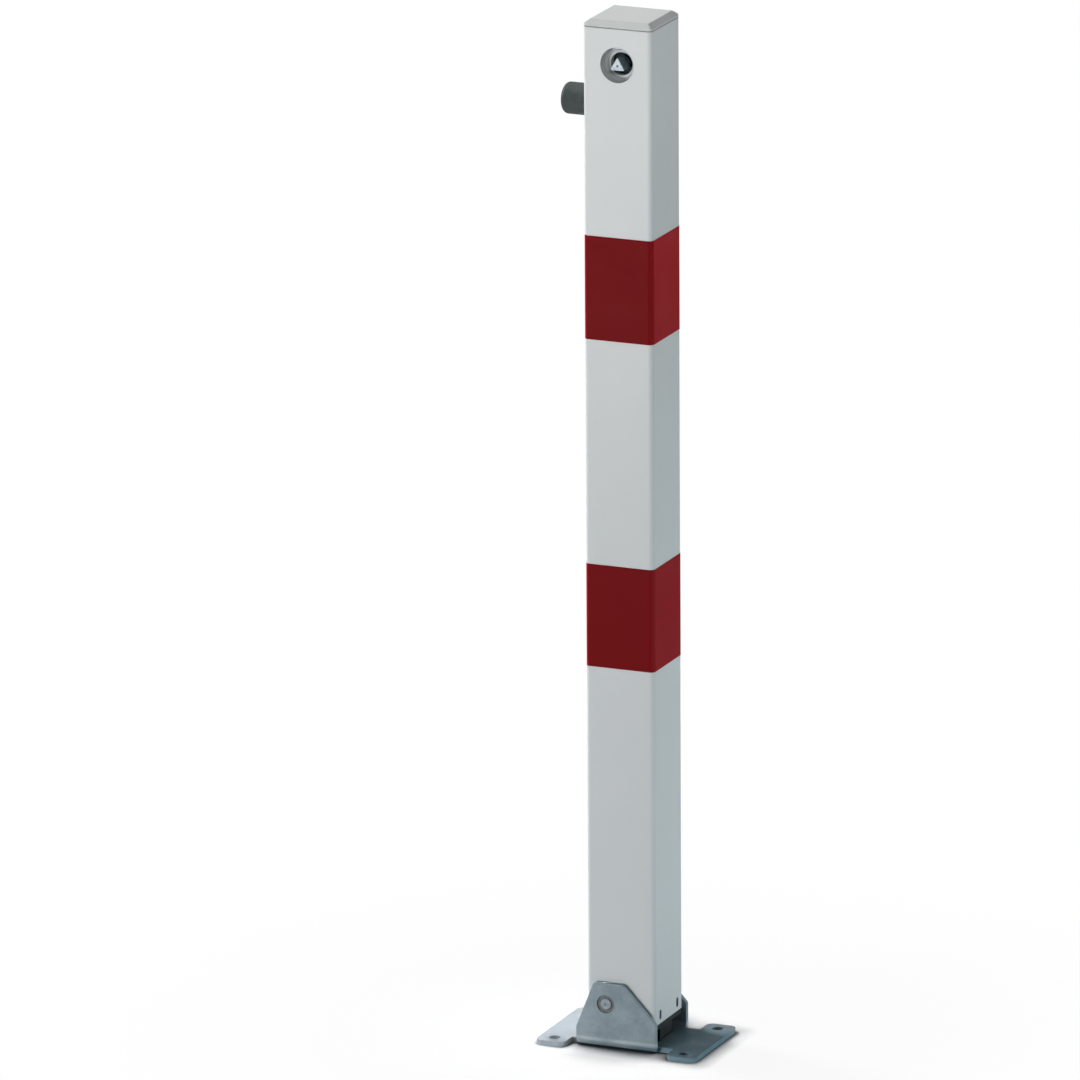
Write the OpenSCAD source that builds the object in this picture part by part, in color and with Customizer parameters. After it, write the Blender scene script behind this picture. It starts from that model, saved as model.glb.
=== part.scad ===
// Fold-down parking post: a square tube hinged in a folded base bracket.
// A triangular key at the top turns a crank, which slides a rod down inside
// the tube, and the bolt at its lower end enters a catch block on the base.
// Origin: on the ground, under the centre of the upright post. +Z is up.
// -Y is the face with the key recess, and the post folds down towards -X.
// The pose drawn here is upright and unlocked, with the bolt drawn in.

/* [Post] */
// Outer width of the square post
post_w = 70; // [66:1:76]
// Wall thickness of the post
post_wall = 3; // [2.5:0.5:4]
// Outer corner radius of the post
post_corner_r = 4.5; // [4:0.5:6]
// Length of the square tube
post_len = 976; // [900:1:1100]
// Thickness of the plate that closes the tube's foot
foot_t = 5; // [4:0.5:8]
// Free height between the base sheet and the foot plate
foot_clear = 15; // [14:0.5:18]

/* [Cap] */
// Thickness of the cap's lid
cap_t = 7; // [6:0.5:9]
// Width of the bevel round the lid's top
cap_bevel = 5.5; // [3:0.5:6.5]
// Height of the bevel round the lid's top
cap_bevel_h = 4.5; // [3:0.5:5]
// Depth of the cap's skirt inside the tube
cap_skirt = 12; // [8:1:14]
// Thickness of the cap's skirt
cap_skirt_t = 2.5; // [2:0.5:4]
// Height of the shadow groove under the lid's edge
cap_groove = 0.5; // [0.3:0.1:1]
// Depth of the shadow groove behind the lid's edge
cap_groove_in = 0.6; // [0.3:0.1:1]

/* [Reflective bands] */
// Height of each band
band_h = 101; // [60:1:120]
// Distance from the tube's top to the upper band's top edge
band_drop = 201.6; // [150:0.2:240]
// Distance between the two bands' lower edges
band_pitch = 321; // [200:1:360]
// Thickness of the band
band_t = 0.3; // [0.2:0.1:0.6]

/* [Base bracket] */
// Thickness of the folded base sheet
sheet_t = 5; // [4:0.5:6]
// Inside radius of the folds
fold_r = 3.5; // [2:0.5:5]
// Gap between each ear and the post
ear_gap = 1; // [0.8:0.1:2]
// Length of each corner lug along the fold direction
lug_len = 30; // [26:1:40]
// Reach of each corner lug past the ear's outer face
lug_reach = 14; // [10:1:20]
// Corner radius of the lugs
lug_r = 7; // [3:0.5:10]
// Width of the relief notch on the folding side
notch_back = 7.5; // [5:0.5:12]
// Width of the relief notch on the other side
notch_fwd = 15.5; // [8:0.5:20]
// Distance of the notches' roots outside the start of the folds
notch_past = 1; // [0.5:0.5:2]
// Diameter of the four ground bolt holes
bolt_hole_d = 11; // [9:0.5:13]
// Distance of the bolt holes from the sheet's ends
bolt_inset_x = 15.5; // [12:0.5:18]
// Distance of the bolt holes from the sheet's long edges
bolt_inset_y = 13; // [10:0.5:15]

/* [Ears] */
// How far the ear's foot reaches past the post's folding face
ear_back = 9; // [6:0.5:12]
// How far the ear's foot reaches past the post's other face
ear_fwd = 3; // [0:0.5:8]
// Height of the ear's lower corner on the folding side
ear_corner_back = 19; // [14:0.5:24]
// Height of the ear's lower corner on the other side
ear_corner_fwd = 28.5; // [20:0.5:34]
// Rise of the ear's top above the pivot
ear_rise = 21; // [18:0.5:26]
// Ear's top corner behind the pivot
ear_top_back = 12; // [9:0.5:14]
// Ear's top corner ahead of the pivot
ear_top_fwd = 17.3; // [12:0.1:22]
// Corner radius of the ears
ear_r = 4; // [1:0.5:6]

/* [Hinge] */
// Height of the pivot above the ground
pivot_z = 44; // [42:0.5:50]
// Distance of the pivot from the post's folding face
pivot_inset = 21.4; // [19:0.2:24]
// Diameter of the hinge pin
pin_d = 12; // [10:0.5:14]
// Chamfer on the pin's ends
pin_chamfer = 0.8; // [0.3:0.1:1.5]
// Diameter of the centre marks in the ends of the pin and of the key head
centre_mark_d = 3; // [2:0.5:4]
// Wall of the bushes and of the sleeve round the pin
bush_wall = 3; // [2:0.5:4]
// Width of the bush's flange past its body
bush_flange_w = 3; // [2:0.5:4]
// Depth of the bush below the ear's outer face
bush_recess = 1.5; // [0.5:0.5:2.5]
// Diameter of the cross pins
cross_pin_d = 4; // [3:0.5:5]

/* [Key recess] */
// Diameter of the hole in the post's front face
recess_d = 34; // [32:0.5:36]
// Distance of the hole's centre below the tube's top
recess_drop = 34.5; // [33:0.5:40]
// Distance of the spindle's axis below the hole's centre
spindle_drop = 1; // [0:0.5:1.5]
// Wall of the cup behind the hole
cup_wall = 2; // [1.5:0.5:2.5]
// Depth of the cup's floor behind the post's front face
cup_depth = 12.5; // [11:0.5:14]
// Thickness of the cup's floor
cup_floor = 2.5; // [2:0.5:4]
// Outer diameter of the lock tube
lock_tube_d = 28; // [26:0.5:30]
// Wall of the lock tube
lock_tube_wall = 3; // [2.5:0.5:4]
// Depth of the lock tube's rim behind the post's front face
lock_tube_depth = 11.5; // [8:0.5:12]

/* [Spindle and crank] */
// Side of the triangular key head
key_side = 14.5; // [13:0.5:15.5]
// Corner radius of the triangular key head
key_r = 0.8; // [0.4:0.1:1.5]
// Length of the triangular key head
key_len = 16.5; // [14:0.5:17]
// Depth of the key head's end behind the post's front face
key_depth = 1; // [0:0.5:3]
// Diameter of the spindle's shaft
spindle_d = 12; // [10:0.5:12.5]
// Distance from the spindle's axis to the crank pin
crank_throw = 14; // [13:0.5:14.5]
// Half of the angle that the crank turns through
crank_half_angle = 30; // [25:1:32]
// Thickness of the crank arm
crank_t = 8; // [6:0.5:9]
// Diameter of the crank's hub
crank_hub_d = 22; // [20:0.5:23]
// Diameter of the crank's outer end
crank_end_d = 11; // [10:0.5:12]
// Diameter of the crank pin
crank_pin_d = 6; // [5:0.5:7]
// Thickness of the washer behind the crank
crank_washer_t = 0.6; // [0.4:0.1:1]
// Outer diameter of the spindle's rear bearing
rear_bearing_d = 26; // [22:0.5:30]
// Thickness of the rear bearing's closed end
rear_bearing_floor = 3.5; // [2:0.5:5]

/* [Rod and latch] */
// Distance of the rod's axis from the post's face opposite the fold
rod_inset = 14; // [13:0.5:15]
// Diameter of the lock rod
rod_d = 10; // [8:0.5:10]
// Diameter of the latch bolt
bolt_d = 14; // [12:0.5:15]
// Length of the latch bolt
bolt_len = 45; // [42:0.5:50]
// Depth of the bolt's tip inside the foot plate when unlocked
bolt_tip_in = 1; // [0.5:0.5:2]
// Chamfer on the bolt's tip
bolt_chamfer = 1.5; // [0.5:0.5:2.5]
// Depth of the rod in the bolt and in the yoke
rod_seat = 14; // [12:0.5:16]
// Width of the yoke's block
yoke_w = 8; // [7:0.5:8.5]
// Height of each prong of the yoke
yoke_prong_h = 5; // [4:0.5:6]
// Wall of the yoke's socket round the rod
yoke_socket_wall = 2; // [1.5:0.5:3]
// Length of the yoke's socket below its block
yoke_socket_len = 16; // [15:0.5:20]
// Thickness of the two rod guide plates
guide_t = 4; // [3:0.5:6]
// Distance of the middle rod guide below the tube's top
guide_middle_drop = 521; // [420:1:560]
// Distance of the upper rod guide below the tube's top
guide_upper_drop = 121; // [110:1:160]
// Width of the lightening hole in each guide plate
guide_hole_d = 22; // [16:1:26]

/* [Latch guide and catch] */
// Thickness of the latch guide's sheet
latch_sheet_t = 4.5; // [2.5:0.5:5]
// Distance of each guide cheek from the post's middle plane
latch_cheek_y = 21; // [17:0.5:23]
// Length of the guide cheeks
latch_cheek_len = 24; // [22:0.5:25]
// Height of the guide's web above the foot plate
latch_web_up = 13.5; // [12:0.5:15]
// Height of the tab slots in the post's side
tab_slot_h = 9.5; // [8:0.5:11]
// Height of the slots' lower end above the tube's foot
tab_slot_up = 4; // [3:0.5:6]
// Depth of the tab's end below the post's side face
tab_recess = 2; // [0.5:0.1:2.5]
// Length of the catch block along the fold direction
catch_len = 22; // [20:0.5:23]
// Width of the catch block
catch_w = 30; // [24:1:40]
// Chamfer at the mouth of the catch block's bore
catch_mouth = 1; // [0.5:0.5:1.5]

/* [Buffer] */
// Diameter of the rubber buffer
buffer_d = 31; // [26:0.5:36]
// Length of the rubber buffer
buffer_len = 32.5; // [28:0.5:38]
// Radius of the buffer's outer edge
buffer_r = 5; // [2:0.5:7]
// Distance of the buffer's axis below the tube's top
buffer_drop = 79; // [70:0.5:100]
// Diameter of the stud's plate inside the rubber
stud_plate_d = 24; // [20:0.5:25]
// Thickness of the stud's plate
stud_plate_t = 2; // [1.5:0.5:3]
// Diameter of the buffer's stud
stud_d = 8; // [6:0.5:8]
// Length of the stud past the post's inner face
stud_reach = 11; // [10:0.5:14]
// Outer diameter of the stud's washer
washer_d = 16; // [14:0.5:20]
// Thickness of the stud's washer
washer_t = 1.6; // [1:0.2:2]
// Width across the flats of the stud's nut
nut_af = 13; // [12:0.5:14]
// Height of the stud's nut
nut_h = 6.5; // [5:0.5:8]

/* [Fits] */
// Radial clearance of shafts that turn or slide in a bore
run_fit = 0.06; // [0.02:0.01:0.1]
// Clearance between pieces that are pressed or welded together
seat_fit = 0.1; // [0.05:0.05:0.2]
// Gap between a moving piece and what it stops against
stop_gap = 0.3; // [0.2:0.05:0.5]
// Radial clearance of the bolt in the foot plate and the catch block
bolt_clear = 0.6; // [0.4:0.1:1]
// Clearance of the crank pin in the yoke, above and below
yoke_clear = 0.45; // [0.4:0.05:0.6]
// Gap between the yoke and what stands before, behind and beside it
yoke_gap = 1.2; // [0.8:0.1:1.5]
// Gap between the spindle's end and the rear bearing's closed end
spindle_end_gap = 1; // [0.5:0.5:1.5]
// Clearance of the latch guide's tabs in their slots
tab_clear = 0.25; // [0.1:0.05:0.4]

/* [Hidden] */
$fn = 72;
small_fn = 40;
cut = 1;
arc_steps = 8;

// Post heights
post_half = post_w / 2;
post_in_half = post_half - post_wall;
foot_z = sheet_t + foot_clear;
tube_z0 = foot_z + foot_t;
tube_z1 = tube_z0 + post_len;

// Ears and the base sheet
pivot_x = -post_half + pivot_inset;
ear_in = post_half + ear_gap;
ear_out = ear_in + sheet_t;
fold_out_r = fold_r + sheet_t;
fold_y = ear_out - fold_out_r;
ear_x0 = -post_half - ear_back;
ear_x1 = post_half + ear_fwd;
ear_top_z = pivot_z + ear_rise;
sheet_x0 = ear_x0 - notch_back - lug_len;
sheet_x1 = ear_x1 + notch_fwd + lug_len;
sheet_y = ear_out + lug_reach;
notch_y = fold_y + notch_past;

// Hinge
bush_d = pin_d + 2 * bush_wall;
bush_flange_t = ear_gap - stop_gap;
pin_bore_d = pin_d + 2 * run_fit;

// Bands, measured down from the tube's top
band_upper_z = tube_z1 - band_drop - band_h;
band_lower_z = band_upper_z - band_pitch;

// Key recess and the spindle, along Y from the post's front face
recess_z = tube_z1 - recess_drop;
spindle_z = recess_z - spindle_drop;
front_y = -post_half;
cup_floor_y = front_y + cup_depth;
lock_tube_y = front_y + lock_tube_depth;
key_y0 = front_y + key_depth;
key_y1 = key_y0 + key_len;
spindle_bush_y = key_y1 + stop_gap;
lock_tube_end_y = -yoke_w / 2 - yoke_gap;
spindle_bush_d = lock_tube_d - 2 * lock_tube_wall;

// Yoke plane is the post's middle plane; the lock tube ends before it, the crank stands behind it
crank_y = yoke_w / 2 + yoke_gap;
crank_end_y = crank_y + crank_t;
crank_washer_y = crank_end_y + seat_fit;
rear_bearing_y = crank_washer_y + crank_washer_t + stop_gap;
rear_bore_y = post_in_half - rear_bearing_floor;
spindle_end_y = rear_bore_y - spindle_end_gap;
crank_washer_d = crank_hub_d;

// Rod and latch, drawn unlocked
rod_x = post_half - rod_inset;
crank_pin_x = crank_throw * cos(crank_half_angle);
crank_pin_z = spindle_z + crank_throw * sin(crank_half_angle);
yoke_slot_h = crank_pin_d + 2 * yoke_clear;
yoke_z0 = crank_pin_z - yoke_slot_h / 2 - yoke_prong_h;
yoke_z1 = crank_pin_z + yoke_slot_h / 2 + yoke_prong_h;
yoke_tip_x = spindle_d / 2 + yoke_gap;
yoke_root_x = crank_throw + crank_pin_d / 2 + stop_gap;
yoke_socket_d = rod_d + 2 * yoke_socket_wall;
yoke_x1 = rod_x + rod_d / 2;
bolt_z0 = foot_z + bolt_tip_in;
bolt_z1 = bolt_z0 + bolt_len;
rod_z0 = bolt_z1 - rod_seat;
rod_z1 = yoke_z0 - yoke_socket_len + rod_seat;
bolt_pin_z = bolt_z1 - rod_seat / 2;
yoke_pin_z = yoke_z0 - yoke_socket_len + rod_seat / 2;
guide_middle_z = tube_z1 - guide_middle_drop;
guide_upper_z = tube_z1 - guide_upper_drop;
guide_w = 2 * (post_in_half - seat_fit);

// Latch guide, its tabs and the catch block
latch_web_z = tube_z0 + latch_web_up - latch_sheet_t;
latch_x0 = post_in_half - latch_cheek_len;
tab_z0 = tube_z0 + tab_slot_up;
tab_slot_w = latch_sheet_t + 2 * tab_clear;
tab_inset = tab_clear + tab_slot_w / 2 - sqrt(pow(tab_slot_w, 2) - pow(latch_sheet_t, 2)) / 2;
catch_top_z = foot_z - stop_gap;

// Buffer on the folding face
buffer_z = tube_z1 - buffer_drop;

// One rounded corner of an outline, as points on an arc from side ab to side bc
function corner_arc(a, b, c, r) =
    let(
        u = (a - b) / norm(a - b),
        v = (c - b) / norm(c - b),
        half = acos(u * v) / 2,
        o = b + (u + v) / norm(u + v) * r / sin(half),
        p = b + u * r / tan(half) - o,
        q = b + v * r / tan(half) - o,
        start = atan2(p.y, p.x),
        turn = (atan2(q.y, q.x) - start + 540) % 360 - 180
    )
    [for (i = [0:arc_steps]) o + r * [cos(start + turn * i / arc_steps), sin(start + turn * i / arc_steps)]];

// An outline whose corners are rounded; a radius of zero keeps the corner sharp
function rounded_outline(pts, radii) =
    let(n = len(pts))
    [for (i = [0:n - 1])
        each (radii[i] > 0
            ? corner_arc(pts[(i + n - 1) % n], pts[i], pts[(i + 1) % n], radii[i])
            : [pts[i]])];

// Cylinder along Y from y0 to y1
module pin_y(d, y0, y1) {
    translate([0, y0, 0])
        rotate([-90, 0, 0])
            cylinder(d = d, h = y1 - y0);
}

// Cone frustum along Y, from diameter d0 at y0 to diameter d1 at y1
module cone_y(d0, d1, y0, y1) {
    translate([0, y0, 0])
        rotate([-90, 0, 0])
            cylinder(d1 = d0, d2 = d1, h = y1 - y0);
}

// Cylinder along X from x0 to x1
module pin_x(d, x0, x1) {
    translate([x0, 0, 0])
        rotate([0, 90, 0])
            cylinder(d = d, h = x1 - x0);
}

// Rectangle with rounded corners, centred
module rounded_rect(w, h, r) {
    square([w - 2 * r, h], center = true);
    square([w, h - 2 * r], center = true);
    for (sx = [-1, 1])
        for (sy = [-1, 1])
            translate([sx * (w / 2 - r), sy * (h / 2 - r)])
                circle(r);
}

// Square bar with rounded upright corners, from z0 to z1
module square_bar(w, r, z0, z1) {
    translate([0, 0, z0])
        linear_extrude(z1 - z0)
            rounded_rect(w, w, r);
}

// Profile drawn in X and Z, made a slab from y0 to y1
module slab_y(pts, y0, y1) {
    translate([0, y1, 0])
        rotate([90, 0, 0])
            linear_extrude(y1 - y0)
                polygon(pts);
}

// Moves its children to the pivot, to the spindle or to the rod's axis
module at_pivot() {
    translate([pivot_x, 0, pivot_z])
        children();
}

module at_spindle() {
    translate([0, 0, spindle_z])
        children();
}

module at_rod() {
    translate([rod_x, 0, 0])
        children();
}

// Flat part of the base sheet: a strip between the folds and two end plates,
// whose ends past the relief notches are the four corner lugs
module base_sheet() {
    end_mid = lug_len / 2;
    linear_extrude(sheet_t) {
        translate([ear_x0, -fold_y])
            square([ear_x1 - ear_x0, 2 * fold_y]);
        translate([sheet_x0 + end_mid, -notch_y])
            square([ear_x0 - sheet_x0 - end_mid, 2 * notch_y]);
        translate([ear_x1, -notch_y])
            square([sheet_x1 - ear_x1 - end_mid, 2 * notch_y]);
        for (x = [sheet_x0 + end_mid, sheet_x1 - end_mid])
            translate([x, 0])
                rounded_rect(lug_len, 2 * sheet_y, lug_r);
    }
}

// Front ear with the fold at its foot; the pivot hole is cut later
module ear() {
    outline = [[ear_x0, fold_out_r], [ear_x0, ear_corner_back],
               [pivot_x - ear_top_back, ear_top_z], [pivot_x + ear_top_fwd, ear_top_z],
               [ear_x1, ear_corner_fwd], [ear_x1, fold_out_r]];
    slab_y(rounded_outline(outline, [0, ear_r, ear_r, ear_r, ear_r, 0]), -ear_out, -ear_in);
    intersection() {
        translate([ear_x0, -fold_y, fold_out_r])
            rotate([0, 90, 0])
                difference() {
                    cylinder(r = fold_out_r, h = ear_x1 - ear_x0);
                    translate([0, 0, -cut])
                        cylinder(r = fold_r, h = ear_x1 - ear_x0 + 2 * cut);
                }
        translate([ear_x0 - cut, -ear_out - cut, -cut])
            cube([ear_x1 - ear_x0 + 2 * cut, fold_out_r + cut, fold_out_r + cut]);
    }
}

module base_bracket() {
    color("lightsteelblue")
        difference() {
            union() {
                base_sheet();
                ear();
                mirror([0, 1, 0])
                    ear();
            }
            at_pivot()
                pin_y(bush_d, -ear_out - cut, ear_out + cut);
            for (x = [sheet_x0 + bolt_inset_x, sheet_x1 - bolt_inset_x])
                for (y = [-sheet_y + bolt_inset_y, sheet_y - bolt_inset_y])
                    translate([x, y, -cut])
                        cylinder(d = bolt_hole_d, h = sheet_t + 2 * cut);
        }
}

// Block welded to the base sheet: the foot rests on it and the bolt enters it
module catch_block() {
    bore_d = bolt_d + 2 * bolt_clear;
    color("slategray")
        at_rod()
            difference() {
                translate([-catch_len / 2, -catch_w / 2, sheet_t])
                    cube([catch_len, catch_w, catch_top_z - sheet_t]);
                translate([0, 0, sheet_t - cut])
                    cylinder(d = bore_d, h = catch_top_z - sheet_t + 2 * cut);
                translate([0, 0, catch_top_z - catch_mouth])
                    cylinder(d1 = bore_d, d2 = bore_d + 2 * (catch_mouth + cut), h = catch_mouth + cut);
            }
}

// Flanged bush pressed into the front ear; its flange keeps the post off the ear
module hinge_bush() {
    color("dimgray")
        at_pivot()
            difference() {
                union() {
                    pin_y(bush_d, -ear_out + bush_recess, -ear_in);
                    pin_y(bush_d + 2 * bush_flange_w, -ear_in, -ear_in + bush_flange_t);
                }
                pin_y(pin_bore_d, -ear_out - cut, -ear_in + bush_flange_t + cut);
            }
}

module hinge_bush_front() {
    hinge_bush();
}

module hinge_bush_rear() {
    mirror([0, 1, 0])
        hinge_bush();
}

// Upright slot with round ends through the post's side wall
module tab_slot(y) {
    translate([0, y, 0]) {
        for (z = [tab_z0 + tab_slot_w / 2, tab_z0 + tab_slot_h - tab_slot_w / 2])
            translate([0, 0, z])
                pin_x(tab_slot_w, post_in_half - cut, post_half + cut);
        translate([post_in_half - cut, -tab_slot_w / 2, tab_z0 + tab_slot_w / 2])
            cube([post_wall + 2 * cut, tab_slot_w, tab_slot_h - tab_slot_w]);
    }
}

module post_tube() {
    color("whitesmoke")
        difference() {
            square_bar(post_w, post_corner_r, tube_z0, tube_z1);
            square_bar(2 * post_in_half, post_corner_r - post_wall, tube_z0 - cut, tube_z1 + cut);
            translate([0, 0, recess_z])
                pin_y(recess_d, -post_half - cut, -post_in_half + cut);
            at_pivot()
                pin_y(bush_d + 2 * seat_fit, -post_half - cut, post_half + cut);
            for (sy = [-1, 1])
                tab_slot(sy * latch_cheek_y);
            translate([0, 0, buffer_z])
                pin_x(stud_d + 2 * seat_fit, -post_half - cut, -post_in_half + cut);
        }
}

// Plate welded under the tube, with the hole that the latch bolt comes out of
module foot_plate() {
    color("slategray")
        difference() {
            square_bar(post_w, post_corner_r, foot_z, tube_z0);
            at_rod()
                translate([0, 0, foot_z - cut])
                    cylinder(d = bolt_d + 2 * bolt_clear, h = foot_t + 2 * cut);
        }
}

// Wedge that bevels one side of the lid's top
module lid_bevel_waste() {
    lid_z = tube_z1 + cap_t;
    slope = [[post_half - cap_bevel, lid_z], [post_half, lid_z - cap_bevel_h],
             [post_half + cap_bevel, lid_z - cap_bevel_h], [post_half + cap_bevel, lid_z + cut],
             [post_half - cap_bevel, lid_z + cut]];
    slab_y(slope, -post_w, post_w);
}

module top_cap() {
    skirt_w = 2 * (post_in_half - seat_fit);
    skirt_r = post_corner_r - post_wall;
    groove_w = post_w - 2 * cap_groove_in;
    color("whitesmoke")
        difference() {
            union() {
                square_bar(post_w, post_corner_r, tube_z1 + cap_groove, tube_z1 + cap_t);
                square_bar(groove_w, post_corner_r - cap_groove_in, tube_z1, tube_z1 + cap_t);
                square_bar(skirt_w, skirt_r, tube_z1 - cap_skirt, tube_z1 + cap_groove);
            }
            for (turn = [0:90:270])
                rotate([0, 0, turn])
                    lid_bevel_waste();
            square_bar(skirt_w - 2 * cap_skirt_t, skirt_r, tube_z1 - cap_skirt - cut, tube_z1 + cap_groove);
        }
}

// Reflective band wrapped round the post
module band(z0) {
    color("firebrick")
        difference() {
            square_bar(post_w + 2 * band_t, post_corner_r + band_t, z0, z0 + band_h);
            square_bar(post_w, post_corner_r, z0 - cut, z0 + band_h + cut);
        }
}

module band_lower() {
    band(band_lower_z);
}

module band_upper() {
    band(band_upper_z);
}

// Sleeve welded across the post, flush with both faces
module hinge_sleeve() {
    color("silver")
        at_pivot()
            difference() {
                pin_y(bush_d, -post_half, post_half);
                pin_y(pin_bore_d, -post_half - cut, post_half + cut);
                hinge_cross_hole();
            }
}

// Upright hole that the hinge's cross pin is driven into
module hinge_cross_hole() {
    translate([0, 0, -bush_d / 2 - cut])
        cylinder(d = cross_pin_d + 2 * seat_fit, h = bush_d + 2 * cut, $fn = small_fn);
}

// Pin through ears, bushes and sleeve, with chamfered and centre-marked ends
module hinge_pin() {
    mark_t = centre_mark_d / 2;
    color("silver")
        at_pivot()
            difference() {
                union() {
                    pin_y(pin_d, -ear_out + pin_chamfer, ear_out - pin_chamfer);
                    cone_y(pin_d - 2 * pin_chamfer, pin_d, -ear_out, -ear_out + pin_chamfer);
                    cone_y(pin_d, pin_d - 2 * pin_chamfer, ear_out - pin_chamfer, ear_out);
                }
                hinge_cross_hole();
                cone_y(centre_mark_d, 0, -ear_out, -ear_out + mark_t);
                cone_y(0, centre_mark_d, ear_out - mark_t, ear_out);
            }
}

module hinge_cross_pin() {
    color("silver")
        at_pivot()
            translate([0, 0, -bush_d / 2])
                cylinder(d = cross_pin_d, h = bush_d, $fn = small_fn);
}

// Folded bracket on the foot plate: two cheeks with tabs and a drilled web
module latch_guide() {
    tab_h = tab_slot_h - 2 * tab_inset;
    color("slategray")
        difference() {
            union() {
                for (sy = [-1, 1])
                    translate([0, sy * latch_cheek_y - latch_sheet_t / 2, 0]) {
                        translate([latch_x0, 0, tube_z0])
                            cube([latch_cheek_len - seat_fit, latch_sheet_t, latch_web_up]);
                        translate([latch_x0, 0, tab_z0 + tab_inset])
                            cube([post_half - tab_recess - latch_x0, latch_sheet_t, tab_h]);
                    }
                translate([latch_x0, -latch_cheek_y, latch_web_z])
                    cube([latch_cheek_len - seat_fit, 2 * latch_cheek_y, latch_sheet_t]);
            }
            at_rod()
                translate([0, 0, latch_web_z - cut])
                    cylinder(d = bolt_d + 2 * run_fit, h = latch_sheet_t + 2 * cut);
        }
}

// Plate welded across the tube, bored for the rod and lightened beside it
module rod_guide(z0) {
    color("silver")
        difference() {
            square_bar(guide_w, post_corner_r - post_wall, z0, z0 + guide_t);
            at_rod()
                translate([0, 0, z0 - cut])
                    cylinder(d = rod_d + 2 * run_fit, h = guide_t + 2 * cut);
            translate([-guide_w / 4, 0, z0 - cut])
                cylinder(d = guide_hole_d, h = guide_t + 2 * cut);
        }
}

module rod_guide_middle() {
    rod_guide(guide_middle_z);
}

module rod_guide_upper() {
    rod_guide(guide_upper_z);
}

// Cup welded behind the hole in the front face; its floor carries the lock tube
module lock_cup() {
    back_y = cup_floor_y + cup_floor;
    color("whitesmoke")
        difference() {
            translate([0, 0, recess_z])
                difference() {
                    pin_y(recess_d + 2 * cup_wall, -post_in_half, back_y);
                    pin_y(recess_d, -post_in_half - cut, cup_floor_y);
                }
            at_spindle()
                pin_y(lock_tube_d + 2 * seat_fit, cup_floor_y - cut, back_y + cut);
        }
}

// Tube round the key head; the spindle's front bush is pressed into its end
module lock_tube() {
    color("silver")
        at_spindle()
            difference() {
                pin_y(lock_tube_d, lock_tube_y, lock_tube_end_y);
                pin_y(spindle_bush_d, lock_tube_y - cut, lock_tube_end_y + cut);
            }
}

module spindle_bush() {
    color("slategray")
        at_spindle()
            difference() {
                pin_y(spindle_bush_d, spindle_bush_y, lock_tube_end_y);
                pin_y(spindle_d + 2 * run_fit, spindle_bush_y - cut, lock_tube_end_y + cut);
            }
}

// Boss welded inside the rear wall, with a blind bore for the spindle's end
module rear_bearing() {
    color("silver")
        at_spindle()
            difference() {
                pin_y(rear_bearing_d, rear_bearing_y, post_in_half);
                pin_y(spindle_d + 2 * run_fit, rear_bearing_y - cut, rear_bore_y);
            }
}

// Rubber buffer with a rounded outer edge, recessed for the stud's plate
module rubber_buffer() {
    profile = [[0, 0], [buffer_d / 2, 0], [buffer_d / 2, buffer_len - buffer_r]];
    edge = [for (i = [1:arc_steps])
        [buffer_d / 2 - buffer_r + buffer_r * cos(90 * i / arc_steps),
         buffer_len - buffer_r + buffer_r * sin(90 * i / arc_steps)]];
    color("darkslategray")
        translate([-post_half, 0, buffer_z])
            rotate([0, -90, 0])
                difference() {
                    rotate_extrude()
                        polygon(concat(profile, edge, [[0, buffer_len]]));
                    translate([0, 0, -cut])
                        cylinder(d = stud_plate_d + 2 * seat_fit, h = stud_plate_t + seat_fit + cut);
                }
}

// Stud with the plate that is bonded into the rubber
module buffer_stud() {
    color("silver")
        translate([0, 0, buffer_z]) {
            pin_x(stud_plate_d, -post_half - stud_plate_t, -post_half);
            pin_x(stud_d, -post_half - stud_plate_t / 2, -post_in_half + stud_reach);
        }
}

module buffer_washer() {
    color("silver")
        translate([0, 0, buffer_z])
            difference() {
                pin_x(washer_d, -post_in_half, -post_in_half + washer_t);
                pin_x(stud_d + 2 * seat_fit, -post_in_half - cut, -post_in_half + washer_t + cut);
            }
}

module buffer_nut() {
    nut_x = -post_in_half + washer_t;
    color("silver")
        translate([0, 0, buffer_z])
            difference() {
                translate([nut_x, 0, 0])
                    rotate([0, 90, 0])
                        cylinder(d = nut_af / cos(30), h = nut_h, $fn = 6);
                pin_x(stud_d + 2 * seat_fit, nut_x - cut, nut_x + nut_h + cut);
            }
}

// Cylinder through the spindle and the crank's hub, at right angles to the arm
module crank_cross(d, extra) {
    translate([0, (crank_y + crank_end_y) / 2, 0])
        rotate([0, -crank_half_angle, 0])
            translate([0, 0, -crank_hub_d / 2 - extra])
                cylinder(d = d, h = crank_hub_d + 2 * extra, $fn = small_fn);
}

// Triangular key head, point up, on a round shaft
module key_spindle() {
    key_r_out = key_side / sqrt(3);
    corners = [for (a = [90, 210, 330]) key_r_out * [cos(a), sin(a)]];
    color("silver")
        at_spindle()
            difference() {
                union() {
                    slab_y(rounded_outline(corners, [key_r, key_r, key_r]), key_y0, key_y1);
                    pin_y(spindle_d, key_y1, spindle_end_y);
                }
                crank_cross(cross_pin_d + 2 * seat_fit, cut);
                cone_y(centre_mark_d, 0, key_y0, key_y0 + centre_mark_d / 2);
            }
}

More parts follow.
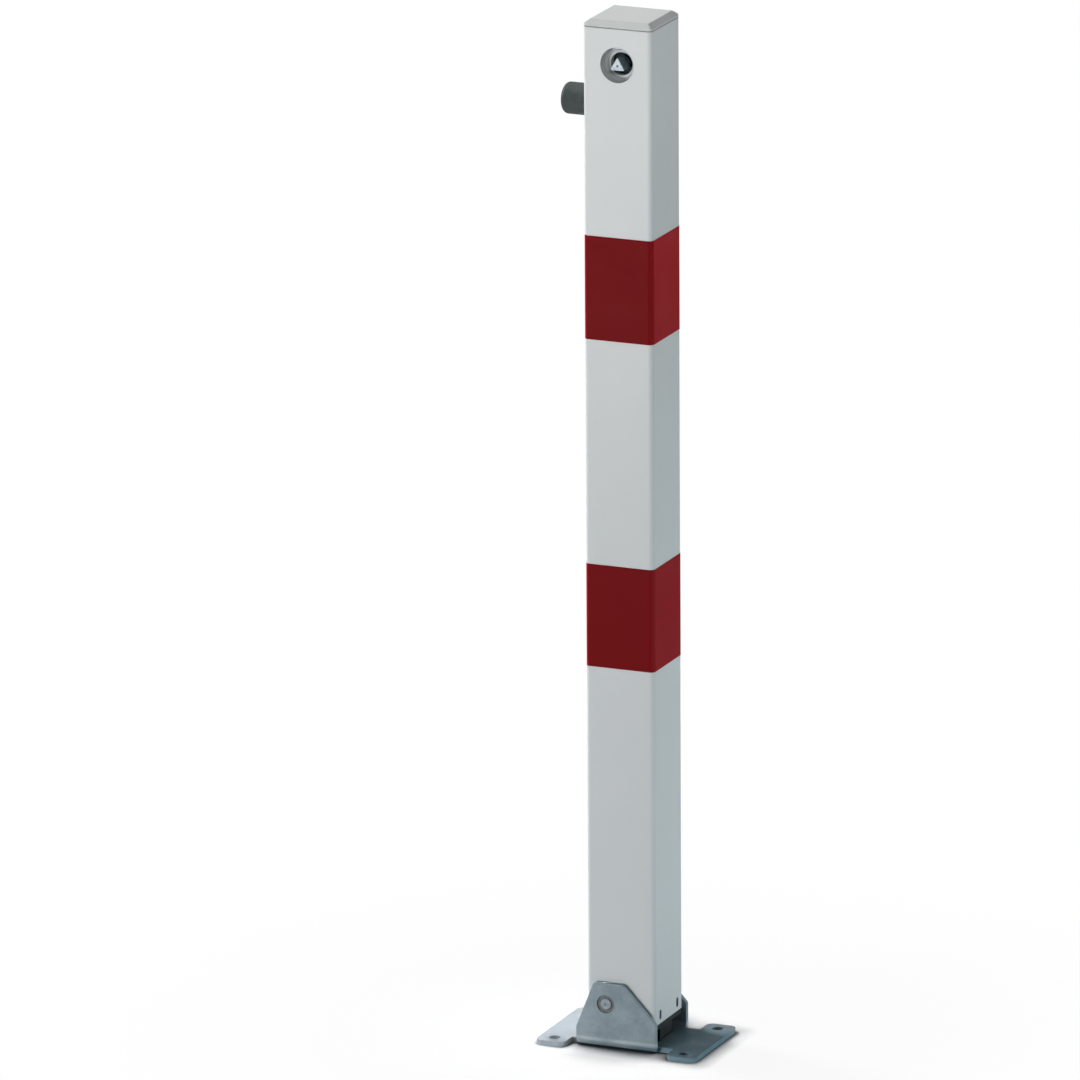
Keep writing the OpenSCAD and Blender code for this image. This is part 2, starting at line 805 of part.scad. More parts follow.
// Arm fixed on the spindle behind the yoke, drawn at its upper limit
module crank_arm() {
    color("silver")
        at_spindle()
            difference() {
                rotate([0, -crank_half_angle, 0]) {
                    pin_y(crank_hub_d, crank_y, crank_end_y);
                    translate([crank_throw, 0, 0])
                        pin_y(crank_end_d, crank_y, crank_end_y);
                    translate([0, crank_y, -crank_end_d / 2])
                        cube([crank_throw, crank_t, crank_end_d]);
                }
                pin_y(spindle_d + 2 * seat_fit, crank_y - cut, crank_end_y + cut);
                rotate([0, -crank_half_angle, 0])
                    translate([crank_throw, 0, 0])
                        pin_y(crank_pin_d + 2 * seat_fit, crank_y - cut, crank_end_y + cut);
                crank_cross(cross_pin_d + 2 * seat_fit, cut);
            }
}

module crank_pin() {
    color("silver")
        translate([crank_pin_x, 0, crank_pin_z])
            pin_y(crank_pin_d, -yoke_w / 2, crank_end_y);
}

module crank_cross_pin() {
    color("silver")
        at_spindle()
            crank_cross(cross_pin_d, 0);
}

module crank_washer() {
    color("silver")
        at_spindle()
            difference() {
                pin_y(crank_washer_d, crank_washer_y, crank_washer_y + crank_washer_t);
                pin_y(spindle_d + 2 * seat_fit, crank_washer_y - cut, crank_washer_y + crank_washer_t + cut);
            }
}

module lock_rod() {
    color("silver")
        at_rod()
            difference() {
                translate([0, 0, rod_z0])
                    cylinder(d = rod_d, h = rod_z1 - rod_z0);
                rod_cross_hole(bolt_pin_z);
                rod_cross_hole(yoke_pin_z);
            }
}

// Hole along Y through the rod and what it is pinned to
module rod_cross_hole(z) {
    translate([0, 0, z])
        pin_y(cross_pin_d + 2 * seat_fit, -bolt_d, bolt_d);
}

// Open fork that the crank pin works in, with a socket for the rod
module rod_yoke() {
    color("silver")
        difference() {
            union() {
                translate([yoke_tip_x, -yoke_w / 2, yoke_z0])
                    cube([yoke_x1 - yoke_tip_x, yoke_w, yoke_z1 - yoke_z0]);
                at_rod()
                    translate([0, 0, yoke_z0 - yoke_socket_len])
                        cylinder(d = yoke_socket_d, h = yoke_socket_len);
            }
            translate([yoke_tip_x - cut, -yoke_w / 2 - cut, crank_pin_z - yoke_slot_h / 2])
                cube([yoke_root_x - yoke_tip_x + cut, yoke_w + 2 * cut, yoke_slot_h]);
            at_rod()
                translate([0, 0, yoke_z0 - yoke_socket_len - cut])
                    cylinder(d = rod_d + 2 * seat_fit, h = rod_seat + seat_fit + cut);
            at_rod()
                rod_cross_hole(yoke_pin_z);
        }
}

module yoke_cross_pin() {
    color("silver")
        at_rod()
            translate([0, 0, yoke_pin_z])
                pin_y(cross_pin_d, -yoke_socket_d / 2, yoke_socket_d / 2);
}

// Round bolt with a chamfered tip, bored at its top for the rod
module latch_bolt() {
    color("silver")
        at_rod()
            difference() {
                union() {
                    translate([0, 0, bolt_z0 + bolt_chamfer])
                        cylinder(d = bolt_d, h = bolt_len - bolt_chamfer);
                    translate([0, 0, bolt_z0])
                        cylinder(d1 = bolt_d - 2 * bolt_chamfer, d2 = bolt_d, h = bolt_chamfer);
                }
                translate([0, 0, rod_z0 - seat_fit])
                    cylinder(d = rod_d + 2 * seat_fit, h = rod_seat + seat_fit + cut);
                rod_cross_hole(bolt_pin_z);
            }
}

module bolt_cross_pin() {
    color("silver")
        at_rod()
            translate([0, 0, bolt_pin_z])
                pin_y(cross_pin_d, -bolt_d / 2, bolt_d / 2);
}

base_bracket();
catch_block();
hinge_bush_front();
hinge_bush_rear();
post_tube();
foot_plate();
top_cap();
band_lower();
band_upper();
hinge_sleeve();
hinge_pin();
hinge_cross_pin();
latch_guide();
rod_guide_middle();
rod_guide_upper();
lock_cup();
lock_tube();
spindle_bush();
rear_bearing();
rubber_buffer();
buffer_stud();
buffer_washer();
buffer_nut();
key_spindle();
crank_arm();
crank_pin();
crank_cross_pin();
crank_washer();
lock_rod();
rod_yoke();
yoke_cross_pin();
latch_bolt();
bolt_cross_pin();
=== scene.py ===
"""Looks of a fold-down parking post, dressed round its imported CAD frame.

Lengths are metres in the part's own frame. +Z is up and the origin lies on the
ground under the post. -Y is the face with the key recess, and the post folds
down towards -X.
"""

import logging
import math
from abc import ABC, abstractmethod
from collections.abc import Callable, Iterable, Mapping, Sequence
from dataclasses import dataclass, field
from enum import Enum
from typing import Any

import bmesh
import bpy
from mathutils import Matrix, Vector


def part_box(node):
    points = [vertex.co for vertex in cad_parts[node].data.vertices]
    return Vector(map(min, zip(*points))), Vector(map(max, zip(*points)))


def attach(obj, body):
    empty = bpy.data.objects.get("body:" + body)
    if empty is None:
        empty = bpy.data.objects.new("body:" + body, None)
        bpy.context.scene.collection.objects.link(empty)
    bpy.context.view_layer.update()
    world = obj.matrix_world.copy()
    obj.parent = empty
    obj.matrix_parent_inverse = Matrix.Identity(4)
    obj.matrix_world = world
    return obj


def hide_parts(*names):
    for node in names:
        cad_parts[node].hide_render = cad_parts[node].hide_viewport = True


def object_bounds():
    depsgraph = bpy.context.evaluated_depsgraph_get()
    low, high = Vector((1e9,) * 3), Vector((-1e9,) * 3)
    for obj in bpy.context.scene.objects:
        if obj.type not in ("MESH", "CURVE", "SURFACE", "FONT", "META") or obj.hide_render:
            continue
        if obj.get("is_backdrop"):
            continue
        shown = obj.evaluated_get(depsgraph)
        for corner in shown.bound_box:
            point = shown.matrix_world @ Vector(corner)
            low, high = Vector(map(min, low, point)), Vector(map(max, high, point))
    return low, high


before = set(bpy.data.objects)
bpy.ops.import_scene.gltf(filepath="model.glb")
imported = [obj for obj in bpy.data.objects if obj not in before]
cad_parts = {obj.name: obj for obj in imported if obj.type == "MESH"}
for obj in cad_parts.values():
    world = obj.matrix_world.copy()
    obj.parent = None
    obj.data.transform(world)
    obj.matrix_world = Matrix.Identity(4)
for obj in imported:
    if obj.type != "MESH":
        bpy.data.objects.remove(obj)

LOG = logging.getLogger("parking_post")
CAD_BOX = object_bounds()

Socket = bpy.types.NodeSocket
Colour = tuple[float, float, float]
# The two ends of a range. A tone that fades in over it is 0 at the first and 1 at the second.
Span = tuple[float, float]
Feed = Socket | float | tuple[float, float, float]

MM = 0.001
MERGE_DISTANCE = 0.001 * MM
FLAT_ANGLE = math.radians(0.5)
EDGE_ANGLE = math.radians(30)
WHITE: Colour = (1.0, 1.0, 1.0)
FULL_SPAN: Span = (0.0, 1.0)
# Most values of a noise pattern lie between these two.
NOISE_SPAN: Span = (0.3, 0.7)


class Body(Enum):
    """The bodies that move against each other."""

    BASE = "base"
    POST = "post"
    SPINDLE = "spindle"
    ROD = "rod"


class Slot(Enum):
    """The material slots of the part's record."""

    WHITE_COAT = "white_coat"
    RED_FILM = "red_film"
    GALVANISED = "galvanised"
    BRIGHT_STEEL = "bright_steel"
    DARK_STEEL = "dark_steel"
    NYLON = "nylon"
    RUBBER = "rubber"


# Node trees


@dataclass(frozen=True)
class Pattern:
    """A pattern on a surface, and the relief that it gives.

    Attributes:
        size: Rough size of its clouds, or the distance between its rings.
        layers: Number of finer layers in its clouds.
        depth: Depth of the relief.
        strength: How much of the relief shows, from 0 to 1.
    """

    size: float
    layers: float = 2.0
    depth: float = 0.0
    strength: float = 0.0


class NodeSketch:
    """Adds nodes to one tree, fed from plain values or from other nodes."""

    def __init__(self, tree: bpy.types.NodeTree) -> None:
        """Keeps the tree that the nodes go into."""
        self.tree = tree

    def add(
        self,
        kind: str,
        feeds: Mapping[str | int, Any] | None = None,
        **settings: Any,
    ) -> bpy.types.Node:
        """Adds a node, sets its options and feeds its inputs.

        Args:
            kind: Blender's name for the type of node.
            feeds: Input name or number, with a value or the output that feeds it.
            **settings: The node's own options.

        Returns:
            The new node.
        """
        node = self.tree.nodes.new(kind)
        for option, choice in settings.items():
            setattr(node, option, choice)
        for key, value in (feeds or {}).items():
            if isinstance(value, Socket):
                self.tree.links.new(value, node.inputs[key])
            else:
                node.inputs[key].default_value = value
        return node

    def reckon(self, operation: str, a: Feed, b: Feed = 0.0) -> Socket:
        """Returns the result of one Math node."""
        return self.add("ShaderNodeMath", {0: a, 1: b}, operation=operation).outputs[0]

    def times(self, a: Feed, b: Feed) -> Socket:
        """Returns the product of two values."""
        return self.reckon("MULTIPLY", a, b)

    def spread(self, value: Feed, source: Span, target: Span = FULL_SPAN) -> Socket:
        """Returns a value moved from one range into another, and held inside it.

        Args:
            value: The value, or the output that gives it.
            source: The value's two ends, the first of which may be the higher.
            target: What the two ends become.

        Returns:
            The output with the new value.
        """
        feeds = {
            "Value": value,
            "From Min": source[0],
            "From Max": source[1],
            "To Min": target[0],
            "To Max": target[1],
        }
        return self.add("ShaderNodeMapRange", feeds).outputs["Result"]


class ShaderSketch(NodeSketch):
    """One material under construction, around its main shader."""

    def __init__(self, name: str) -> None:
        """Makes the material, with a main shader that is already connected.

        Args:
            name: The material's name.
        """
        self.material = bpy.data.materials.new(name)
        self.material.use_nodes = True
        super().__init__(self.material.node_tree)
        self.shader = self.tree.nodes["Principled BSDF"]
        self.place = self.add("ShaderNodeTexCoord").outputs["Object"]

    def along(self, axis: str) -> Socket:
        """Returns the place's coordinate along X, Y or Z."""
        return self.add("ShaderNodeSeparateXYZ", {0: self.place}).outputs[axis]

    def vector(self, operation: str, a: Feed, b: Feed = (0.0, 0.0, 0.0)) -> Socket:
        """Returns the vector that one Vector Math node gives."""
        return self.add("ShaderNodeVectorMath", {0: a, 1: b}, operation=operation).outputs[0]

    def length(self, vector: Feed) -> Socket:
        """Returns a vector's length."""
        return self.add("ShaderNodeVectorMath", {0: vector}, operation="LENGTH").outputs["Value"]

    def noise(self, pattern: Pattern, place: Socket | None = None) -> Socket:
        """Returns a cloudy pattern from 0 to 1.

        Args:
            pattern: Size and layers of the pattern's clouds.
            place: Coordinates other than the object's own.

        Returns:
            The pattern's value.
        """
        feeds = {
            "Vector": place or self.place,
            "Scale": 1 / pattern.size,
            "Detail": pattern.layers,
        }
        return self.add("ShaderNodeTexNoise", feeds).outputs["Fac"]

    def blend(self, share: Feed, first: Feed, second: Feed) -> Socket:
        """Returns a colour between two others.

        Args:
            share: Share of the second colour.
            first: Colour or colour output.
            second: Colour or colour output.

        Returns:
            The mixed colour.
        """
        mix = self.add("ShaderNodeMix", {0: share}, data_type="RGBA")
        for socket, colour in ((mix.inputs[6], first), (mix.inputs[7], second)):
            if isinstance(colour, Socket):
                self.tree.links.new(colour, socket)
            else:
                socket.default_value = (*colour, 1)
        return mix.outputs[2]

    def relief(self, height: Socket, pattern: Pattern) -> None:
        """Gives the main shader a fine relief, on top of any that it has.

        Args:
            height: The output with the relief's height from 0 to 1.
            pattern: Depth and strength of the relief.
        """
        before = self.shader.inputs["Normal"]
        feeds: dict[str | int, Any] = {
            "Height": height,
            "Distance": pattern.depth,
            "Strength": pattern.strength,
        }
        if before.is_linked:
            feeds["Normal"] = before.links[0].from_socket
        bump = self.add("ShaderNodeBump", feeds)
        self.tree.links.new(bump.outputs["Normal"], before)

    def feed(self, name: str, value: Feed) -> None:
        """Sets one input of the main shader, or connects it.

        Args:
            name: The input's name.
            value: A number, a colour or the output that feeds it.
        """
        socket = self.shader.inputs[name]
        if isinstance(value, Socket):
            self.tree.links.new(value, socket)
        elif isinstance(value, tuple):
            socket.default_value = (*value, 1)
        else:
            socket.default_value = value

    def colour_so_far(self) -> Socket:
        """Returns the output that feeds the main shader's colour."""
        return self.shader.inputs["Base Color"].links[0].from_socket


class ShapeTree(NodeSketch):
    """A geometry tree with named inputs, run once for each plain mesh."""

    def __init__(self, name: str) -> None:
        """Makes the empty tree with its output.

        Args:
            name: The tree's name.
        """
        super().__init__(bpy.data.node_groups.new(name, "GeometryNodeTree"))
        self.tree.interface.new_socket(
            "Geometry", in_out="OUTPUT", socket_type="NodeSocketGeometry"
        )
        self.entry = self.add("NodeGroupInput")
        self.identifiers: dict[str, str] = {}

    def size(self, name: str, kind: str = "NodeSocketFloat") -> Socket:
        """Adds a named input to the tree.

        Args:
            name: The input's name.
            kind: Blender's name for the type of socket.

        Returns:
            The output that carries the input's value.
        """
        socket = self.tree.interface.new_socket(name, in_out="INPUT", socket_type=kind)
        self.identifiers[name] = socket.identifier
        return self.entry.outputs[name]

    def count(self, name: str) -> Socket:
        """Adds a named input that takes a whole number."""
        return self.size(name, "NodeSocketInt")

    def half(self, value: Feed) -> Socket:
        """Returns half the value."""
        return self.times(value, 0.5)

    def minus(self, value: Feed) -> Socket:
        """Returns the value with its sign changed."""
        return self.times(value, -1.0)

    def midway(self, low: Feed, high: Feed) -> Socket:
        """Returns the value midway between two others."""
        return self.half(self.reckon("ADD", low, high))

    def point(self, x: Feed = 0.0, y: Feed = 0.0, z: Feed = 0.0) -> Socket:
        """Returns a vector made of three values or outputs."""
        return self.add("ShaderNodeCombineXYZ", {0: x, 1: y, 2: z}).outputs[0]

    def rectangle(self, width: Feed, height: Feed) -> Socket:
        """Returns a rectangle in the XY plane, round the origin."""
        feeds = {"Width": width, "Height": height}
        return self.add("GeometryNodeCurvePrimitiveQuadrilateral", feeds).outputs[0]

    def ring(self, width: Feed, depth: Feed, radius: Feed, steps: Feed) -> Socket:
        """Returns a rectangle in the XY plane, with rounded corners.

        Args:
            width: Its size along X.
            depth: Its size along Y.
            radius: Radius of its corners.
            steps: Number of points on each corner.

        Returns:
            The output with the ring's curve.
        """
        corners = self.rectangle(width, depth)
        feeds = {"Curve": corners, "Count": steps, "Radius": radius}
        return self.add("GeometryNodeFilletCurve", feeds, mode="POLY").outputs[0]

    def circle(self, radius: Feed, steps: Feed) -> Socket:
        """Returns a circle in the XY plane."""
        feeds = {"Resolution": steps, "Radius": radius}
        return self.add("GeometryNodeCurvePrimitiveCircle", feeds).outputs[0]

    def prism(self, start: Socket, end: Socket, section: Socket) -> Socket:
        """Returns a closed bar between two points.

        Args:
            start: Point where the bar starts.
            end: Point where it ends.
            section: Curve round the bar.

        Returns:
            The output with the bar's mesh.
        """
        line = self.add("GeometryNodeCurvePrimitiveLine", {"Start": start, "End": end})
        feeds = {"Curve": line.outputs[0], "Profile Curve": section, "Fill Caps": True}
        return self.add("GeometryNodeCurveToMesh", feeds).outputs[0]

    def moved(self, shape: Socket, by: Socket) -> Socket:
        """Returns the shape shifted by a vector."""
        feeds = {"Geometry": shape, "Translation": by}
        return self.add("GeometryNodeTransform", feeds).outputs[0]

    def joined(self, shapes: Sequence[Socket]) -> Socket:
        """Returns several shapes as one.

        Args:
            shapes: Outputs with one shape each.

        Returns:
            The output with all of them.
        """
        join = self.add("GeometryNodeJoinGeometry")
        for shape in shapes:
            self.tree.links.new(shape, join.inputs[0])
        return join.outputs[0]

    def close(self, shape: Socket) -> None:
        """Ends the tree: real meshes instead of instances, with the material set.

        Args:
            shape: The output with the finished shape.
        """
        material = self.size("Material", "NodeSocketMaterial")
        real = self.add("GeometryNodeRealizeInstances", {"Geometry": shape})
        feeds = {"Geometry": real.outputs[0], "Material": material}
        dressed = self.add("GeometryNodeSetMaterial", feeds)
        self.add("NodeGroupOutput", {0: dressed.outputs[0]})

    def run(self, name: str, values: Mapping[str, float]) -> bpy.types.Object:
        """Runs the tree with these inputs.

        Args:
            name: Name of the new piece.
            values: Value of each named input.

        Returns:
            An object with the result as a plain mesh.
        """
        piece = add_object(name, bpy.data.meshes.new(name))
        modifier = piece.modifiers.new("Shape", "NODES")
        modifier.node_group = self.tree
        for key, value in values.items():
            modifier[self.identifiers[key]] = value
        settle(piece)
        turn_outwards(piece)
        return piece


# Mesh helpers


def add_object(name: str, mesh: bpy.types.Mesh) -> bpy.types.Object:
    """Adds an object to the scene, at the origin.

    Args:
        name: The object's name.
        mesh: The mesh that it shows.

    Returns:
        The new object.
    """
    piece = bpy.data.objects.new(name, mesh)
    bpy.context.scene.collection.objects.link(piece)
    return piece


def settle(piece: bpy.types.Object) -> None:
    """Turns a piece's modifiers into its plain mesh and removes them.

    Args:
        piece: The piece, which keeps its name.
    """
    graph = bpy.context.evaluated_depsgraph_get()
    result = bpy.data.meshes.new_from_object(
        piece.evaluated_get(graph), preserve_all_data_layers=True, depsgraph=graph
    )
    result.name = piece.name
    piece.modifiers.clear()
    piece.data = result


def turn_outwards(piece: bpy.types.Object) -> None:
    """Merges a closed mesh's doubled points and makes all its faces point outwards.

    Args:
        piece: The piece, whose mesh is changed.
    """
    shape = bmesh.new()
    shape.from_mesh(piece.data)
    bmesh.ops.remove_doubles(shape, verts=shape.verts, dist=MERGE_DISTANCE)
    bmesh.ops.recalc_face_normals(shape, faces=shape.faces)
    shape.to_mesh(piece.data)
    shape.free()


def merged_copy(node: str, name: str) -> bpy.types.Object:
    """Copies a CAD node's mesh, without the edges between its flat triangles.

    Args:
        node: The CAD node.
        name: Name of the new piece.

    Returns:
        The new piece, with no material yet.
    """
    shape = bmesh.new()
    shape.from_mesh(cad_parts[node].data)
    bmesh.ops.remove_doubles(shape, verts=shape.verts, dist=MERGE_DISTANCE)
    bmesh.ops.dissolve_limit(
        shape, angle_limit=FLAT_ANGLE, verts=shape.verts, edges=shape.edges
    )
    mesh = bpy.data.meshes.new(name)
    shape.to_mesh(mesh)
    shape.free()
    return add_object(name, mesh)


def centre_of(node: str) -> Vector:
    """Returns the middle of a CAD node's box."""
    low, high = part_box(node)
    return (low + high) / 2


def weigh_edges(
    piece: bpy.types.Object, share: Callable[[bmesh.types.BMEdge], float]
) -> None:
    """Writes down for each sharp edge how far it is to be rounded.

    Args:
        piece: The piece, whose mesh is changed.
        share: Gives the share of the full rounding for one edge.
    """
    shape = bmesh.new()
    shape.from_mesh(piece.data)
    weight = shape.edges.layers.float.new("bevel_weight_edge")
    for edge in shape.edges:
        if edge.calc_face_angle(0.0) > EDGE_ANGLE:
            edge[weight] = share(edge)
    shape.to_mesh(piece.data)
    shape.free()


def soften(
    piece: bpy.types.Object,
    width: float,
    segments: int = 3,
    share: Callable[[bmesh.types.BMEdge], float] | None = None,
) -> None:
    """Rounds a piece's edges and shades it smoothly.

    Args:
        piece: The piece, whose mesh is changed.
        width: How far the rounding reaches from each edge.
        segments: Number of faces across the rounding.
        share: Gives the share of the width for one edge, or all sharp edges are alike.
    """
    piece.data.shade_smooth()
    bevel = piece.modifiers.new("Edges", "BEVEL")
    bevel.limit_method = "ANGLE"
    bevel.angle_limit = EDGE_ANGLE
    if share is not None:
        bevel.limit_method = "WEIGHT"
        weigh_edges(piece, share)
    bevel.width = width
    bevel.segments = segments
    bevel.miter_outer = "MITER_ARC"
    piece.modifiers.new("Shading", "WEIGHTED_NORMAL").keep_sharp = True
    settle(piece)


def lathe(name: str, outline: Sequence[Span], steps: int) -> bpy.types.Object:
    """Turns an outline round the Z axis.

    Args:
        name: Name of the new piece.
        outline: Radius and height of each point, which starts and ends on the axis.
        steps: Number of faces round the piece.

    Returns:
        The new piece, closed and facing outwards.
    """
    shape = bmesh.new()
    rings: list[list[bmesh.types.BMVert]] = []
    for radius, height in outline:
        turns = steps if radius > 0 else 1
        angles = [2 * math.pi * i / turns for i in range(turns)]
        rings.append(
            [shape.verts.new((radius * math.cos(a), radius * math.sin(a), height)) for a in angles]
        )
    for lower, upper in zip(rings, rings[1:]):
        for i in range(steps):
            j = (i + 1) % steps
            corners = [
                lower[i % len(lower)],
                lower[j % len(lower)],
                upper[j % len(upper)],
                upper[i % len(upper)],
            ]
            shape.faces.new(dict.fromkeys(corners))
    bmesh.ops.recalc_face_normals(shape, faces=shape.faces)
    mesh = bpy.data.meshes.new(name)
    shape.to_mesh(mesh)
    shape.free()
    return add_object(name, mesh)


# Finishes


@dataclass(frozen=True)
class Finish(ABC):
    """A surface that several pieces may share."""

    slot: Slot

    @abstractmethod
    def paint(self, sketch: ShaderSketch) -> None:
        """Builds the finish in the sketch's node tree."""

    def material(self) -> bpy.types.Material:
        """Gives the finish's material, made when it is first asked for.

        Returns:
            The material that all pieces with this finish share.
        """
        name = f"{self.slot.value}_{type(self).__name__}"
        found = bpy.data.materials.get(name)
        if found is not None:
            return found
        sketch = ShaderSketch(name)
        self.paint(sketch)
        return sketch.material


@dataclass(frozen=True)
class PowderCoat(Finish):
    """Satin powder coat with a fine orange-peel surface."""

    slot: Slot = Slot.WHITE_COAT
    colour: Colour = (0.66, 0.69, 0.685)
    # Painted shade: the coat turns darker and bluer towards the foot.
    foot_shade_colour: Colour = (0.575, 0.61, 0.63)
    foot_shade_fade: Span = (900 * MM, 0.0)
    cloud: Pattern = Pattern(90 * MM, 3)
    cloud_span: Span = (0.2, 0.8)
    cloud_share: Span = (0.75, 1.0)
    specular: float = 0.15
    roughness: Span = (0.38, 0.47)
    peel: Pattern = Pattern(1.6 * MM, 1, 0.05 * MM, 0.35)

    def paint(self, sketch: ShaderSketch) -> None:
        """Builds the coat: painted shade that makes it darker and bluer towards the foot, and the
        peel.

        Args:
            sketch: The material that takes the coat.
        """
        cloud = sketch.noise(self.cloud)
        # Painted shade, growing from 900 mm down to the foot.
        foot = sketch.spread(sketch.along("Z"), self.foot_shade_fade)
        share = sketch.times(foot, sketch.spread(cloud, self.cloud_span, self.cloud_share))
        sketch.feed("Base Color", sketch.blend(share, self.colour, self.foot_shade_colour))
        sketch.feed("Specular IOR Level", self.specular)
        sketch.feed("Roughness", sketch.spread(cloud, NOISE_SPAN, self.roughness))
        sketch.relief(sketch.noise(self.peel), self.peel)


@dataclass(frozen=True)
class CapCoat(PowderCoat):
    """The same coat on the cap, darker as painted shade for its lit top, with a painted shade line
    along its joint to the tube.
    """

    # Painted shade: darker than the tube's coat, to hold down the lit top.
    colour: Colour = (0.585, 0.61, 0.605)
    # Painted shade: a thin dark line along the joint to the tube.
    joint_shade_colour: Colour = (0.16, 0.175, 0.175)
    joint_shade_fade: Span = (1002.4 * MM, 1001.56 * MM)
    ripple: Pattern = Pattern(8 * MM)
    ripple_reach: Span = (-0.15 * MM, 0.15 * MM)

    def paint(self, sketch: ShaderSketch) -> None:
        """Builds the coat and paints a thin line of shade along its lower edge.

        Args:
            sketch: The material that takes the coat.
        """
        super().paint(sketch)
        coat = sketch.colour_so_far()
        ripple = sketch.spread(sketch.noise(self.ripple), NOISE_SPAN, self.ripple_reach)
        height = sketch.reckon("ADD", sketch.along("Z"), ripple)
        # Painted shade along the joint, wavering a little.
        joint_shade = sketch.spread(height, self.joint_shade_fade)
        sketch.feed("Base Color", sketch.blend(joint_shade, coat, self.joint_shade_colour))


@dataclass(frozen=True)
class ReflectiveFilm(Finish):
    """Red retroreflective film with fine glass beads under a clear face."""

    slot: Slot = Slot.RED_FILM
    colour: Colour = (0.10, 0.0015, 0.0015)
    dark_colour: Colour = (0.08, 0.001, 0.001)
    bead: Pattern = Pattern(0.7 * MM, depth=0.03 * MM, strength=0.3)
    bead_span: Span = (0.0, 0.9)
    cloud: Pattern = Pattern(50 * MM, 3)
    cloud_share: Span = (0.6, 1.0)
    roughness: Span = (0.34, 0.44)
    specular: float = 0.02
    sheen: float = 1.0
    sheen_roughness: float = 0.7
    sheen_tint: Colour = (1.0, 0.05, 0.07)
    wave: Pattern = Pattern(12 * MM, 1, 0.12 * MM, 0.25)

    def paint(self, sketch: ShaderSketch) -> None:
        """Builds the film: bead by bead variation, and faint waviness.

        Args:
            sketch: The material that takes the film.
        """
        feeds = {"Vector": sketch.place, "Scale": 1 / self.bead.size}
        beads = sketch.add("ShaderNodeTexVoronoi", feeds).outputs["Distance"]
        cloud = sketch.noise(self.cloud)
        grain = sketch.spread(beads, self.bead_span)
        share = sketch.times(grain, sketch.spread(cloud, NOISE_SPAN, self.cloud_share))
        sketch.feed("Base Color", sketch.blend(share, self.colour, self.dark_colour))
        sketch.feed("Roughness", sketch.spread(cloud, NOISE_SPAN, self.roughness))
        sketch.feed("Specular IOR Level", self.specular)
        sketch.feed("Sheen Weight", self.sheen)
        sketch.feed("Sheen Roughness", self.sheen_roughness)
        sketch.feed("Sheen Tint", self.sheen_tint)
        sketch.relief(beads, self.bead)
        sketch.relief(sketch.noise(self.wave), self.wave)


